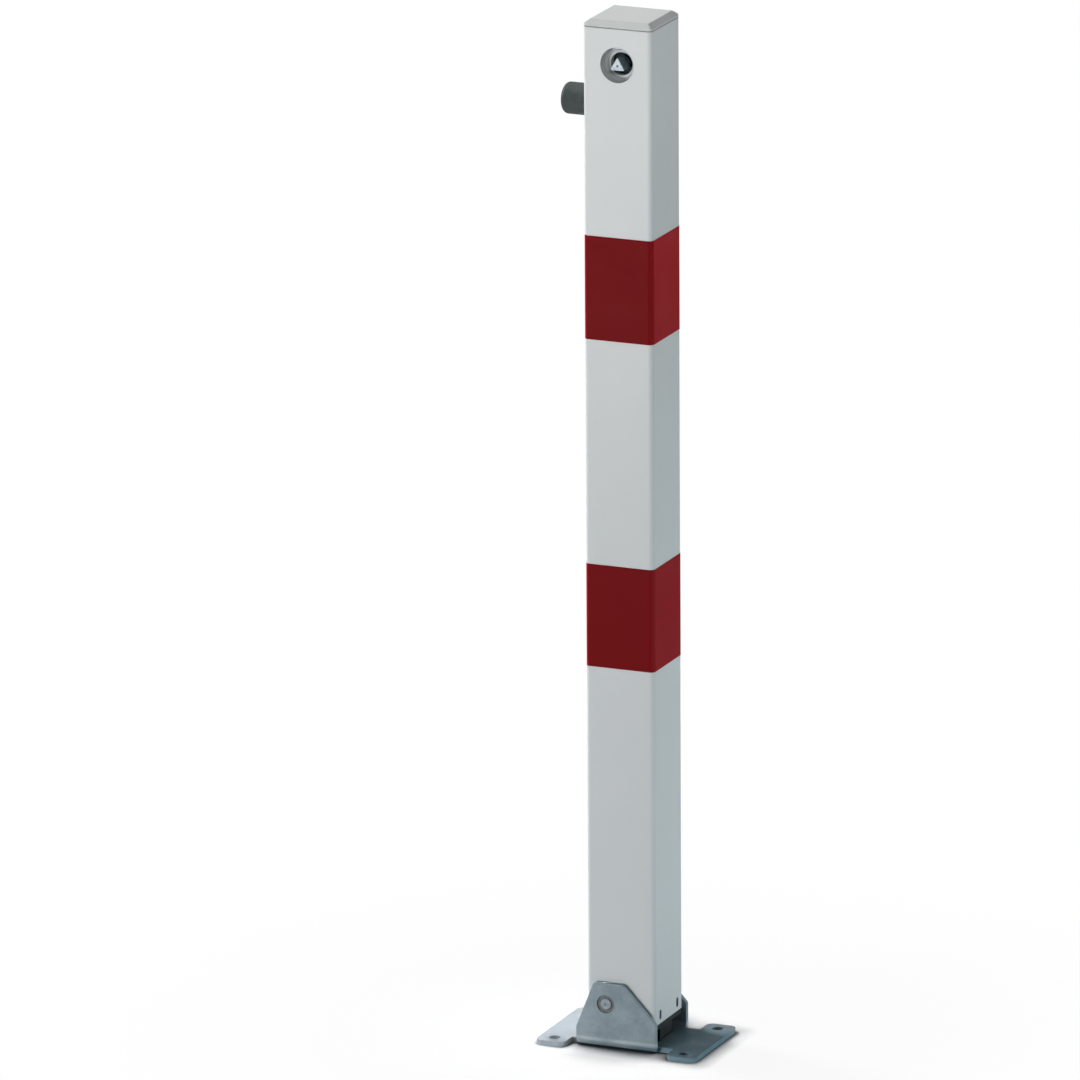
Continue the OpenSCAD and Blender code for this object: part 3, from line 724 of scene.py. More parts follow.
@dataclass(frozen=True)
class ZincCoat(Finish):
    """Hot-dip galvanised sheet: dull spangle, cloudy patches and soft lumps."""

    slot: Slot = Slot.GALVANISED
    dark_colour: Colour = (0.195, 0.245, 0.275)
    light_colour: Colour = (0.290, 0.355, 0.395)
    spangle_size: float = 3.5 * MM
    spangle_share: Span = (0.0, 0.3)
    wander_scale: float = 220.0
    wander_reach: float = 2.2 * MM
    cloud: Pattern = Pattern(22 * MM, 4, 0.35 * MM, 0.25)
    cloud_share: Span = (0.0, 0.7)
    grain: Pattern = Pattern(0.9 * MM, 2, 0.05 * MM, 0.3)
    grain_share: Span = (-0.12, 0.12)
    patch_span: Span = (0.25, 0.7)
    # Painted light: paler zinc towards the left lug, where the key lamp falls.
    painted_light_colour: Colour = (0.375, 0.42, 0.46)
    painted_light_to_x: Span = (-30 * MM, -52 * MM)
    painted_light_share: Span = (0.6, 1.0)
    # Painted shade: darker, tealer zinc on the flat sheet right of the post, standing in for the
    # post's shadow.
    painted_shade_colour: Colour = (0.135, 0.225, 0.27)
    painted_shade_from_x: Span = (8 * MM, 20 * MM)
    painted_shade_to_y: Span = (42 * MM, 28 * MM)
    painted_shade_to_z: Span = (5.6 * MM, 5.1 * MM)
    painted_shade_share: Span = (1.0, 0.65)
    # Painted highlight: a paler band at the fold's height, standing in for the floor's light on the
    # bend.
    fold_highlight_colour: Colour = (0.46, 0.52, 0.56)
    fold_height: float = 8 * MM
    fold_highlight_reach: Span = (2.6 * MM, 0.78 * MM)
    fold_highlight_span: Span = (0.3, 0.65)
    fold_highlight_share: Span = (0.25, 0.8)
    metallic: float = 0.05
    specular: float = 0.04
    roughness: Span = (0.46, 0.62)

    def crystals(self, sketch: ShaderSketch) -> Socket:
        """Adds the spangle, whose borders wander.

        Args:
            sketch: The material that takes the zinc.

        Returns:
            One random value from 0 to 1 for each crystal.
        """
        feeds = {"Vector": sketch.place, "Scale": self.wander_scale}
        shake = sketch.add("ShaderNodeTexNoise", feeds).outputs["Color"]
        wander = sketch.vector("MULTIPLY", shake, (self.wander_reach,) * 3)
        place = sketch.vector("ADD", sketch.place, wander)
        feeds = {"Vector": place, "Scale": 1 / self.spangle_size}
        colours = sketch.add("ShaderNodeTexVoronoi", feeds).outputs["Color"]
        return sketch.add("ShaderNodeSeparateColor", {0: colours}).outputs[0]

    def paint(self, sketch: ShaderSketch) -> None:
        """Builds the zinc: its spangle, painted light on the left lug, painted shade on the sheet
        right of the post, a painted highlight along the folds, and relief.

        Args:
            sketch: The material that takes the zinc.
        """
        crystal = self.crystals(sketch)
        cloud = sketch.noise(self.cloud)
        grain = sketch.noise(self.grain)
        share = sketch.reckon(
            "ADD",
            sketch.spread(crystal, FULL_SPAN, self.spangle_share),
            sketch.spread(cloud, NOISE_SPAN, self.cloud_share),
        )
        share = sketch.reckon("ADD", share, sketch.spread(grain, NOISE_SPAN, self.grain_share))
        zinc = sketch.blend(share, self.dark_colour, self.light_colour)
        x, y, z = (sketch.along(axis) for axis in "XYZ")
        # Painted light on the left lug.
        pale = sketch.spread(x, self.painted_light_to_x)
        pale = sketch.times(pale, sketch.spread(cloud, self.patch_span, self.painted_light_share))
        zinc = sketch.blend(pale, zinc, self.painted_light_colour)
        # Painted shade on the flat sheet right of the post.
        painted_shade = sketch.spread(z, self.painted_shade_to_z)
        painted_shade = sketch.times(painted_shade, sketch.spread(x, self.painted_shade_from_x))
        painted_shade = sketch.times(painted_shade, sketch.spread(y, self.painted_shade_to_y))
        painted_shade = sketch.times(painted_shade, sketch.spread(cloud, self.patch_span, self.painted_shade_share))
        zinc = sketch.blend(painted_shade, zinc, self.painted_shade_colour)
        # Painted highlight along the fold line.
        off_fold = sketch.reckon("ABSOLUTE", sketch.reckon("SUBTRACT", z, self.fold_height))
        fold_highlight = sketch.spread(off_fold, self.fold_highlight_reach)
        fold_highlight = sketch.times(fold_highlight, sketch.spread(cloud, self.fold_highlight_span, self.fold_highlight_share))
        sketch.feed("Base Color", sketch.blend(fold_highlight, zinc, self.fold_highlight_colour))
        sketch.feed("Metallic", self.metallic)
        sketch.feed("Specular IOR Level", self.specular)
        sketch.feed("Roughness", sketch.spread(crystal, FULL_SPAN, self.roughness))
        sketch.relief(cloud, self.cloud)
        sketch.relief(grain, self.grain)


@dataclass(frozen=True)
class BrightZinc(ZincCoat):
    """The lighter zinc of the lock tube."""

    dark_colour: Colour = (0.42, 0.45, 0.46)
    light_colour: Colour = (0.58, 0.61, 0.62)


@dataclass(frozen=True)
class TurnedSteel(Finish):
    """Zinc-plated steel, turned or drawn, with fine machining marks."""

    slot: Slot = Slot.BRIGHT_STEEL
    colour: Colour = (0.48, 0.52, 0.55)
    worn_colour: Colour = (0.34, 0.37, 0.40)
    mark: Pattern = Pattern(4 * MM, 3, 0.03 * MM, 0.3)
    mark_scale: tuple[float, float, float] = (1.0, 8.0, 1.0)
    patch: Pattern = Pattern(6 * MM, 3)
    patch_span: Span = (0.35, 0.75)
    metallic: float = 0.45
    roughness: Span = (0.26, 0.42)

    def paint(self, sketch: ShaderSketch) -> None:
        """Builds the steel: marks across the piece and duller patches.

        Args:
            sketch: The material that takes the finish.
        """
        feeds = {"Vector": sketch.place, "Scale": self.mark_scale}
        marks = sketch.noise(self.mark, sketch.add("ShaderNodeMapping", feeds).outputs[0])
        share = sketch.spread(sketch.noise(self.patch), self.patch_span)
        sketch.feed("Base Color", sketch.blend(share, self.colour, self.worn_colour))
        sketch.feed("Metallic", self.metallic)
        sketch.feed("Roughness", sketch.spread(marks, NOISE_SPAN, self.roughness))
        sketch.relief(marks, self.mark)


@dataclass(frozen=True)
class KeySteel(TurnedSteel):
    """Steel of the key spindle, bright on its end face, with painted shade on the flanks behind it.
    """

    colour: Colour = (0.44, 0.49, 0.53)
    worn_colour: Colour = (0.32, 0.365, 0.40)
    # Painted shade: the flanks behind the end face turn dark, as if in the lock tube's shadow.
    flank_shade_colour: Colour = (0.10, 0.15, 0.155)
    flank_shade_from_y: Span = (-33.8 * MM, -33.1 * MM)
    metallic: float = 0.25
    roughness: Span = (0.47, 0.63)

    def paint(self, sketch: ShaderSketch) -> None:
        """Builds the steel, with painted shade on the flanks behind the end face.

        Args:
            sketch: The material that takes the finish.
        """
        super().paint(sketch)
        bright = sketch.colour_so_far()
        # Painted shade behind the end face.
        flank_shade = sketch.spread(sketch.along("Y"), self.flank_shade_from_y)
        sketch.feed("Base Color", sketch.blend(flank_shade, bright, self.flank_shade_colour))


@dataclass(frozen=True)
class PatchyFinish(Finish):
    """A finish whose colour and gloss change in soft patches, over a fine grain."""

    colour: Colour
    patch_colour: Colour
    patch: Pattern
    patch_span: Span
    roughness: Span
    grain: Pattern
    metallic: float = 0.0
    specular: float = 0.5

    def patch_share(self, sketch: ShaderSketch, patches: Socket) -> Socket:
        """Returns the share of the patches' colour."""
        return sketch.spread(patches, self.patch_span)

    def grain_height(self, sketch: ShaderSketch) -> Socket:
        """Returns the height of the grain."""
        return sketch.noise(self.grain)

    def paint(self, sketch: ShaderSketch) -> None:
        """Builds the patches and the grain.

        Args:
            sketch: The material that takes the finish.
        """
        patches = sketch.noise(self.patch)
        share = self.patch_share(sketch, patches)
        sketch.feed("Base Color", sketch.blend(share, self.colour, self.patch_colour))
        sketch.feed("Metallic", self.metallic)
        sketch.feed("Specular IOR Level", self.specular)
        sketch.feed("Roughness", sketch.spread(patches, NOISE_SPAN, self.roughness))
        sketch.relief(self.grain_height(sketch), self.grain)


@dataclass(frozen=True)
class PlatedPin(PatchyFinish):
    """Dull zinc plating on a turned end, with rings left by the tool."""

    slot: Slot = Slot.BRIGHT_STEEL
    colour: Colour = (0.21, 0.25, 0.275)
    patch_colour: Colour = (0.15, 0.18, 0.20)
    patch: Pattern = Pattern(3 * MM, 3)
    patch_span: Span = (0.35, 0.7)
    roughness: Span = (0.36, 0.5)
    grain: Pattern = Pattern(0.55 * MM, depth=0.012 * MM, strength=0.6)
    metallic: float = 0.3
    axis_x: float = -13.6 * MM
    axis_z: float = 44 * MM

    def grain_height(self, sketch: ShaderSketch) -> Socket:
        """Adds tool rings round the pin's axis, as far apart as the grain's size.

        Args:
            sketch: The material that takes the finish.

        Returns:
            The height of the rings.
        """
        feeds = {
            "Vector": sketch.place,
            "Location": (-self.axis_x, 0.0, -self.axis_z),
            "Scale": (1.0, 0.0, 1.0),
        }
        centred = sketch.add("ShaderNodeMapping", feeds).outputs[0]
        turns = sketch.times(sketch.length(centred), 2 * math.pi / self.grain.size)
        return sketch.reckon("SINE", turns)


@dataclass(frozen=True)
class BlackenedSteel(PatchyFinish):
    """Blackened steel with a thin brownish bloom, rubbed patches and a fine scale."""

    slot: Slot = Slot.DARK_STEEL
    colour: Colour = (0.006, 0.010, 0.011)
    patch_colour: Colour = (0.016, 0.022, 0.022)
    patch: Pattern = Pattern(5 * MM, 4)
    patch_span: Span = (0.35, 0.7)
    roughness: Span = (0.5, 0.66)
    grain: Pattern = Pattern(0.5 * MM, 2, 0.03 * MM, 0.35)
    metallic: float = 0.1
    specular: float = 0.12


@dataclass(frozen=True)
class DarkNylon(PatchyFinish):
    """Dark nylon with a fine moulded grain and rubbed patches."""

    slot: Slot = Slot.NYLON
    colour: Colour = (0.085, 0.10, 0.11)
    patch_colour: Colour = (0.13, 0.15, 0.16)
    patch: Pattern = Pattern(4 * MM, 3)
    patch_span: Span = (0.45, 0.75)
    roughness: Span = (0.48, 0.6)
    grain: Pattern = Pattern(0.4 * MM, 1, 0.02 * MM, 0.4)


@dataclass(frozen=True)
class BufferRubber(PatchyFinish):
    """Matt dark rubber with a fine grain, and a dusty bloom between its bumps."""

    slot: Slot = Slot.RUBBER
    colour: Colour = (0.029, 0.038, 0.038)
    patch_colour: Colour = (0.057, 0.070, 0.068)
    patch: Pattern = Pattern(9 * MM, 4)
    patch_span: Span = (0.35, 0.7)
    roughness: Span = (0.6, 0.78)
    grain: Pattern = Pattern(0.6 * MM, 2, 0.05 * MM, 0.4)
    grain_share: Span = (0.6, 1.0)
    specular: float = 0.25

    def patch_share(self, sketch: ShaderSketch, patches: Socket) -> Socket:
        """Breaks the patches up with the grain.

        Args:
            sketch: The material that takes the finish.
            patches: The output with the patches.

        Returns:
            The share of the bloom's colour.
        """
        bloom = super().patch_share(sketch, patches)
        grain = self.grain_height(sketch)
        return sketch.times(bloom, sketch.spread(grain, NOISE_SPAN, self.grain_share))


FINISHES: dict[Slot, Finish] = {
    finish.slot: finish
    for finish in (
        PowderCoat(),
        ReflectiveFilm(),
        ZincCoat(),
        TurnedSteel(),
        BlackenedSteel(),
        DarkNylon(),
        BufferRubber(),
    )
}


# Sub-assemblies


@dataclass
class SubAssembly(ABC):
    """Pieces that belong together on the post."""

    body: Body
    pieces: list[bpy.types.Object] = field(default_factory=list)

    @abstractmethod
    def build(self) -> None:
        """Builds and dresses all pieces of the sub-assembly."""

    def dress(
        self,
        piece: bpy.types.Object,
        finish: Finish,
        replaces: Iterable[str] = (),
        body: Body | None = None,
    ) -> None:
        """Gives a piece its material, body, slot and the CAD nodes it stands for.

        Args:
            piece: A finished plain mesh.
            finish: The finish that it takes.
            replaces: CAD nodes that it stands for.
            body: The body that it rides on, if not the sub-assembly's own.
        """
        piece.data.materials.clear()
        piece.data.materials.append(finish.material())
        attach(piece, (body or self.body).value)
        if replaces:
            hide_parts(*replaces)
        self.pieces.append(piece)

    def soften_node(
        self, node: str, finish: Finish, width: float, body: Body | None = None
    ) -> None:
        """Stands a copy with rounded edges in a CAD node's place.

        Args:
            node: The CAD node.
            finish: The finish that the copy takes.
            width: Width of the rounding.
            body: The body that it rides on, if not the sub-assembly's own.
        """
        piece = merged_copy(node, f"{node}_soft")
        soften(piece, width)
        self.dress(piece, finish, [node], body)

    def report(self) -> None:
        """Logs each piece with its number of faces."""
        for piece in self.pieces:
            LOG.info("%s: %s, %d faces", type(self).__name__, piece.name, len(piece.data.polygons))


@dataclass
class Post(SubAssembly):
    """The square tube with its openings, the films round it, its cap and its foot.

    Attributes:
        tab_slot_rise: Height of the slots over the tube's lower end.
        tab_slot_spread: Distance of each slot from the tube's middle.
        tab_slot_round: Radius of the slots' ends, as a share of their width.
        cap_slope_height: Distance from the cap's top down to the foot of its slopes.
        rim_share: Share of the cap's rounding at the foot of its slopes.
        seam_share: Share of the cap's rounding at its joint to the tube.
        film_gap: Gap between a film and the tube.
        lap_place: Distance of the lap from the middle, as a share of half the film's width.
        lap_thickness: Thickness of the lap, as a share of the film's.
        lap_rise: Distance from the film's face to the lap's middle, as a share of its wall.
    """

    body: Body = Body.POST
    wall: float = 3 * MM
    corner_radius: float = 4.5 * MM
    corner_steps: int = 9
    key_hole_radius: float = 17 * MM
    sleeve_hole_radius: float = 9.1 * MM
    stud_hole_radius: float = 4.1 * MM
    hole_steps: int = 72
    tab_slot_width: float = 5 * MM
    tab_slot_height: float = 9.5 * MM
    tab_slot_rise: float = 4 * MM
    tab_slot_spread: float = 21 * MM
    tab_slot_round: float = 0.499
    tab_slot_steps: int = 8
    edge: float = 0.5 * MM
    cap_round: float = 2.4 * MM
    cap_round_steps: int = 6
    cap_slope_height: float = 4.5 * MM
    rim_share: float = 0.45
    seam_share: float = 0.08
    film_gap: float = 0.02 * MM
    film_edge: float = 0.08 * MM
    lap_width: float = 12 * MM
    lap_place: float = 1 / 3
    lap_thickness: float = 0.8
    lap_rise: float = 0.3

    def build(self) -> None:
        """Builds the tube, the films, the cap and the foot plate."""
        self.build_tube()
        self.build_films()
        self.build_cap()
        self.soften_node("foot_plate", BlackenedSteel(), self.edge)

    def sleeve(
        self, tree: ShapeTree, width: Socket, wall: Socket, low: Socket, high: Socket
    ) -> Socket:
        """Adds a square sleeve with rounded corners to a tree.

        Args:
            tree: The geometry tree.
            width: Outer width of the sleeve.
            wall: Thickness of its wall.
            low: Height of its lower end.
            high: Height of its upper end.

        Returns:
            The output with the sleeve's mesh.
        """
        radius = tree.size("Corner radius")
        steps = tree.count("Corner steps")
        middle = tree.reckon("SUBTRACT", width, wall)
        turn = tree.reckon("SUBTRACT", radius, tree.half(wall))
        path = tree.ring(middle, middle, turn, steps)
        level = tree.add("GeometryNodeSetCurveNormal", {"Curve": path}, mode="Z_UP").outputs[0]
        section = tree.rectangle(wall, tree.reckon("SUBTRACT", high, low))
        feeds = {"Curve": level, "Profile Curve": section}
        swept = tree.add("GeometryNodeCurveToMesh", feeds).outputs[0]
        return tree.moved(swept, tree.point(z=tree.midway(low, high)))

    def tube_tree(self) -> ShapeTree:
        """Builds the tree of the tube: a square sleeve, less all its openings.

        Returns:
            The closed tree.
        """
        tree = ShapeTree("drilled_square_tube")
        width, wall = tree.size("Width"), tree.size("Wall")
        low, high = tree.size("Lower end"), tree.size("Upper end")
        tube = self.sleeve(tree, width, wall, low, high)
        half = tree.half(width)
        out = tree.reckon("ADD", half, wall)
        inner = tree.reckon("SUBTRACT", half, tree.reckon("ADD", wall, wall))
        steps = tree.count("Hole steps")
        key_z = tree.size("Key hole height")
        key_hole = tree.prism(
            tree.point(0.0, tree.minus(out), key_z),
            tree.point(0.0, tree.minus(inner), key_z),
            tree.circle(tree.size("Key hole radius"), steps),
        )
        pivot_x, pivot_z = tree.size("Pivot X"), tree.size("Pivot Z")
        sleeve_hole = tree.prism(
            tree.point(pivot_x, tree.minus(out), pivot_z),
            tree.point(pivot_x, out, pivot_z),
            tree.circle(tree.size("Sleeve hole radius"), steps),
        )
        stud_z = tree.size("Stud hole height")
        stud_hole = tree.prism(
            tree.point(tree.minus(out), 0.0, stud_z),
            tree.point(tree.minus(inner), 0.0, stud_z),
            tree.circle(tree.size("Stud hole radius"), steps),
        )
        slot_w, slot_h = tree.size("Slot width"), tree.size("Slot height")
        slot_z, slot_y = tree.size("Slot centre height"), tree.size("Slot spread")
        slot_r = tree.times(slot_w, self.tab_slot_round)
        slot_ring = tree.ring(slot_w, slot_h, slot_r, self.tab_slot_steps)
        slot = tree.prism(tree.point(inner), tree.point(out), slot_ring)
        slots = [
            tree.moved(slot, tree.point(0.0, side, slot_z)) for side in (slot_y, tree.minus(slot_y))
        ]
        feeds = {"Mesh 1": tube}
        drill = tree.add(
            "GeometryNodeMeshBoolean", feeds, operation="DIFFERENCE", solver="EXACT"
        )
        for cutter in (key_hole, sleeve_hole, stud_hole, *slots):
            tree.tree.links.new(cutter, drill.inputs["Mesh 2"])
        tree.close(drill.outputs[0])
        return tree

    def build_tube(self) -> None:
        """Builds the tube in the place of the CAD one."""
        low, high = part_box("post_tube")
        pivot = centre_of("hinge_sleeve")
        tube = self.tube_tree().run(
            "post_shell",
            {
                "Width": high.x - low.x,
                "Wall": self.wall,
                "Lower end": low.z,
                "Upper end": high.z,
                "Corner radius": self.corner_radius,
                "Corner steps": self.corner_steps,
                "Hole steps": self.hole_steps,
                "Key hole height": centre_of("lock_cup").z,
                "Key hole radius": self.key_hole_radius,
                "Pivot X": pivot.x,
                "Pivot Z": pivot.z,
                "Sleeve hole radius": self.sleeve_hole_radius,
                "Stud hole height": centre_of("rubber_buffer").z,
                "Stud hole radius": self.stud_hole_radius,
                "Slot width": self.tab_slot_width,
                "Slot height": self.tab_slot_height,
                "Slot centre height": low.z + self.tab_slot_rise + self.tab_slot_height / 2,
                "Slot spread": self.tab_slot_spread,
            },
        )
        soften(tube, self.edge)
        self.dress(tube, PowderCoat(), ["post_tube"])

    def build_cap(self) -> None:
        """Builds the cap in the place of the CAD one, with well rounded slopes."""
        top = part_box("top_cap")[1].z
        slope_foot = top - self.cap_slope_height

        def share(edge: bmesh.types.BMEdge) -> float:
            """Gives all the rounding to the slopes and little to the joint.

            Args:
                edge: An edge of the cap.

            Returns:
                The edge's share of the rounding.
            """
            middle = (edge.verts[0].co.z + edge.verts[1].co.z) / 2
            if middle > slope_foot + MERGE_DISTANCE:
                return 1.0
            return self.rim_share if middle > slope_foot - MERGE_DISTANCE else self.seam_share

        cap = merged_copy("top_cap", "top_cap_soft")
        soften(cap, self.cap_round, self.cap_round_steps, share)
        self.dress(cap, CapCoat(), ["top_cap"])

    def film_tree(self) -> ShapeTree:
        """Builds the tree of a film: a thin sleeve whose end laps over its start.

        Returns:
            The closed tree.
        """
        tree = ShapeTree("lapped_film")
        width, wall = tree.size("Width"), tree.size("Wall")
        low, high = tree.size("Lower end"), tree.size("Upper end")
        film = self.sleeve(tree, width, wall, low, high)
        lap = tree.size("Lap width")
        height = tree.reckon("SUBTRACT", high, low)
        thick = tree.times(wall, self.lap_thickness)
        feeds = {"Size": tree.point(lap, thick, height)}
        patch = tree.add("GeometryNodeMeshCube", feeds).outputs[0]
        back = tree.reckon("ADD", tree.half(width), tree.times(wall, self.lap_rise))
        place = tree.point(tree.size("Lap X"), back, tree.midway(low, high))
        tree.close(tree.joined([film, tree.moved(patch, place)]))
        return tree

    def build_films(self) -> None:
        """Builds the two red films in the place of the CAD bands."""
        tree = self.film_tree()
        tube_low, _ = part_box("post_tube")
        for node in ("band_lower", "band_upper"):
            low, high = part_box(node)
            film = tree.run(
                node.replace("band", "film"),
                {
                    "Width": high.x - low.x,
                    "Wall": tube_low.x - low.x - self.film_gap,
                    "Lower end": low.z,
                    "Upper end": high.z,
                    "Corner radius": self.corner_radius + tube_low.x - low.x,
                    "Corner steps": self.corner_steps,
                    "Lap width": self.lap_width,
                    "Lap X": high.x * self.lap_place,
                },
            )
            soften(film, self.film_edge, segments=1)
            self.dress(film, ReflectiveFilm(), [node])


@dataclass
class BaseBracket(SubAssembly):
    """The folded base sheet with its ears, and the catch block welded to it.

    Attributes:
        bead_stand: How much longer than the block the weld is, as a share of a bead's radius.
        bead_rise: Height of the beads' middle over the block's foot, as a share of the radius.
        least_scale: Smallest scale of a bead along each axis.
        most_scale: Largest scale of a bead along each axis.
    """

    body: Body = Body.BASE
    sheet_edge: float = 1.1 * MM
    block_edge: float = 0.6 * MM
    bead_radius: float = 1.9 * MM
    bead_pitch: float = 1.5 * MM
    bead_segments: int = 12
    bead_rings: int = 7
    bead_stand: float = 0.6
    bead_rise: float = 0.1
    bead_corner_steps: int = 4
    least_scale: tuple[float, float, float] = (0.9, 0.9, 0.85)
    most_scale: tuple[float, float, float] = (1.05, 1.05, 1.05)
    seed: int = 7

    def build(self) -> None:
        """Builds the sheet, the block and the weld round the block's foot."""
        self.soften_node("base_bracket", ZincCoat(), self.sheet_edge)
        # Painted shade: the catch block and its weld are near-black steel, keeping the gap under
        # the tube as dark as deep shade.
        self.soften_node("catch_block", BlackenedSteel(), self.block_edge)
        self.build_weld()

    def weld_tree(self) -> ShapeTree:
        """Builds the tree of a fillet weld: overlapping beads along a rectangle.

        Returns:
            The closed tree.
        """
        tree = ShapeTree("fillet_weld")
        radius = tree.size("Bead radius")
        path = tree.ring(tree.size("Length"), tree.size("Width"), radius, self.bead_corner_steps)
        feeds = {"Curve": path, "Length": tree.size("Pitch")}
        points = tree.add("GeometryNodeCurveToPoints", feeds, mode="LENGTH")
        feeds = {"Segments": self.bead_segments, "Rings": self.bead_rings, "Radius": radius}
        bead = tree.add("GeometryNodeMeshUVSphere", feeds).outputs[0]
        feeds = {0: self.least_scale, 1: self.most_scale, "Seed": tree.count("Seed")}
        scale = tree.add("FunctionNodeRandomValue", feeds, data_type="FLOAT_VECTOR").outputs[0]
        feeds = {
            "Points": points.outputs["Points"],
            "Instance": bead,
            "Rotation": points.outputs["Rotation"],
            "Scale": scale,
        }
        beads = tree.add("GeometryNodeInstanceOnPoints", feeds).outputs[0]
        place = tree.point(tree.size("Centre X"), tree.size("Centre Y"), tree.size("Height"))
        tree.close(tree.moved(beads, place))
        return tree

    def build_weld(self) -> None:
        """Lays the weld round the foot of the catch block."""
        low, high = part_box("catch_block")
        centre = centre_of("catch_block")
        weld = self.weld_tree().run(
            "catch_weld",
            {
                "Bead radius": self.bead_radius,
                "Pitch": self.bead_pitch,
                "Length": high.x - low.x + self.bead_radius * self.bead_stand,
                "Width": high.y - low.y + self.bead_radius * self.bead_stand,
                "Centre X": centre.x,
                "Centre Y": centre.y,
                "Height": low.z + self.bead_radius * self.bead_rise,
                "Seed": self.seed,
            },
        )
        weld.data.shade_smooth()
        # Painted shade: near-black like the catch block.
        self.dress(weld, BlackenedSteel())


@dataclass
class Hinge(SubAssembly):
    """The pin and its bushes in the ears."""

    body: Body = Body.BASE
    edge: float = 0.25 * MM

    def build(self) -> None:
        """Builds the pin's ends and the bushes with rounded edges."""
        for node in ("hinge_bush_front", "hinge_bush_rear"):
            self.soften_node(node, DarkNylon(), self.edge)
        self.soften_node("hinge_pin", PlatedPin(), self.edge, Body.POST)


@dataclass
class KeyRecess(SubAssembly):
    """The cup behind the front face, the lock tube in it and the triangular key head."""

    body: Body = Body.POST
    edge: float = 0.3 * MM
    rim_edge: float = 0.6 * MM

    def build(self) -> None:
        """Builds the visible pieces of the recess with rounded edges."""
        self.soften_node("lock_cup", PowderCoat(), self.edge)
        self.soften_node("lock_tube", BrightZinc(), self.rim_edge)
        self.soften_node("spindle_bush", BlackenedSteel(), self.edge)
        self.soften_node("key_spindle", KeySteel(), self.edge, Body.SPINDLE)


@dataclass
class Buffer(SubAssembly):
    """The rubber buffer that meets the ground when the post lies down.

    Attributes:
        rim: Width of the chamfer at the buffer's back.
        dish_floor: Radius of the dish's floor, as a share of the dish's radius.
        seam: Height and half the width of the moulding line.
        seam_place: Place of the moulding line, as a share of the buffer's length.
    """

    body: Body = Body.POST
    rim: float = 0.6 * MM
    nose_radius: float = 5 * MM
    nose_steps: int = 12
    dish_radius: float = 3 * MM
    dish_depth: float = 0.8 * MM
    dish_floor: float = 0.7
    seam: float = 0.25 * MM
    seam_place: float = 0.2
    steps: int = 96
    crease_angle: float = math.radians(50)

    def outline(self, radius: float, length: float) -> list[Span]:
        """Returns the buffer's section from its back to its dished nose.

        Args:
            radius: The buffer's outer radius.
            length: The buffer's length.

        Returns:
            Radius and distance from the back of each point.
        """
        body = radius - self.seam
        seam = self.seam_place * length
        points = [(0.0, 0.0), (body - self.rim, 0.0), (body, self.rim)]
        points += [(body, seam - 2 * self.seam), (radius, seam), (body, seam + 2 * self.seam)]
        for i in range(self.nose_steps + 1):
            angle = math.pi / 2 * i / self.nose_steps
            inwards = self.nose_radius * (1 - math.cos(angle))
            backwards = self.nose_radius * (1 - math.sin(angle))
            points.append((body - inwards, length - backwards))
        dish = length - self.dish_depth
        floor = self.dish_radius * self.dish_floor
        points += [(self.dish_radius, length), (floor, dish), (0.0, dish)]
        return points

    def build(self) -> None:
        """Turns the buffer and sets it on the post's folding face."""
        low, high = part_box("rubber_buffer")
        outline = self.outline((high.z - low.z) / 2, high.x - low.x)
        buffer = lathe("buffer_rubber", outline, self.steps)
        centre = centre_of("rubber_buffer")
        back = Matrix.Translation((high.x, centre.y, centre.z))
        buffer.data.transform(back @ Matrix.Rotation(-math.pi / 2, 4, "Y"))
        buffer.data.shade_smooth()
        buffer.data.set_sharp_from_angle(angle=self.crease_angle)
        self.dress(buffer, BufferRubber(), ["rubber_buffer"])


class InnerWorks:
    """The CAD nodes that keep their own shape, mostly inside the post."""

    def build(self) -> None:
        """Gives each CAD node the finish of its slot in the record."""
        for name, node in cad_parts.items():
            if node.hide_render:
                continue
            for place in node.material_slots:
                slot = Slot(place.material.name.split(".")[0])
                place.material = FINISHES[slot].material()
            LOG.info("InnerWorks: %s keeps its CAD shape", name)


# Studio


@dataclass(frozen=True)
class Lamp:
    """A soft square lamp: its place, what it faces, its size, power, colour and beam."""

    name: str
    place: tuple[float, float, float]
    aim: tuple[float, float, float]
    size: float
    power: float
    colour: Colour = WHITE
    beam: float = 180.0

    def build(self) -> None:
        """Adds the lamp to the scene."""
        light = bpy.data.lights.new(self.name, "AREA")
        light.size = self.size
        light.energy = self.power
        light.color = self.colour
        light.spread = math.radians(self.beam)
        lamp = bpy.data.objects.new(self.name, light)
        bpy.context.scene.collection.objects.link(lamp)
        lamp.location = self.place
        heading = Vector(self.aim) - Vector(self.place)
        lamp.rotation_euler = heading.to_track_quat("-Z", "Y").to_euler()


LAMPS = (
    Lamp("key_lamp", (-2.2, 0.55, 2.5), aim=(0.0, 0.0, 0.3), size=0.5, power=74.0),
    Lamp("front_lamp", (-1.2, -2.4, 0.3), aim=(0.0, 0.0, 0.5), size=1.0, power=57.0),
    Lamp("top_lamp", (0.9, -1.3, 1.75), aim=(0.0, 0.0, 1.01), size=0.25, power=0.2, beam=30.0),
    Lamp("cap_lamp", (0.35, 0.12, 1.75), aim=(0.0, 0.0, 1.0), size=0.15, power=0.018, beam=16.0),
    Lamp(
        "right_lamp",
        (1.1, 0.09, 0.1),
        aim=(0.0, 0.0, 0.33),
        size=0.25,
        power=6.25,
        colour=(0.88, 1.0, 1.03),
    ),
    Lamp("base_lamp", (-0.3, 0.0, 1.9), aim=(-0.07, -0.01, 0.0), size=0.15, power=0.12, beam=10.0),
)


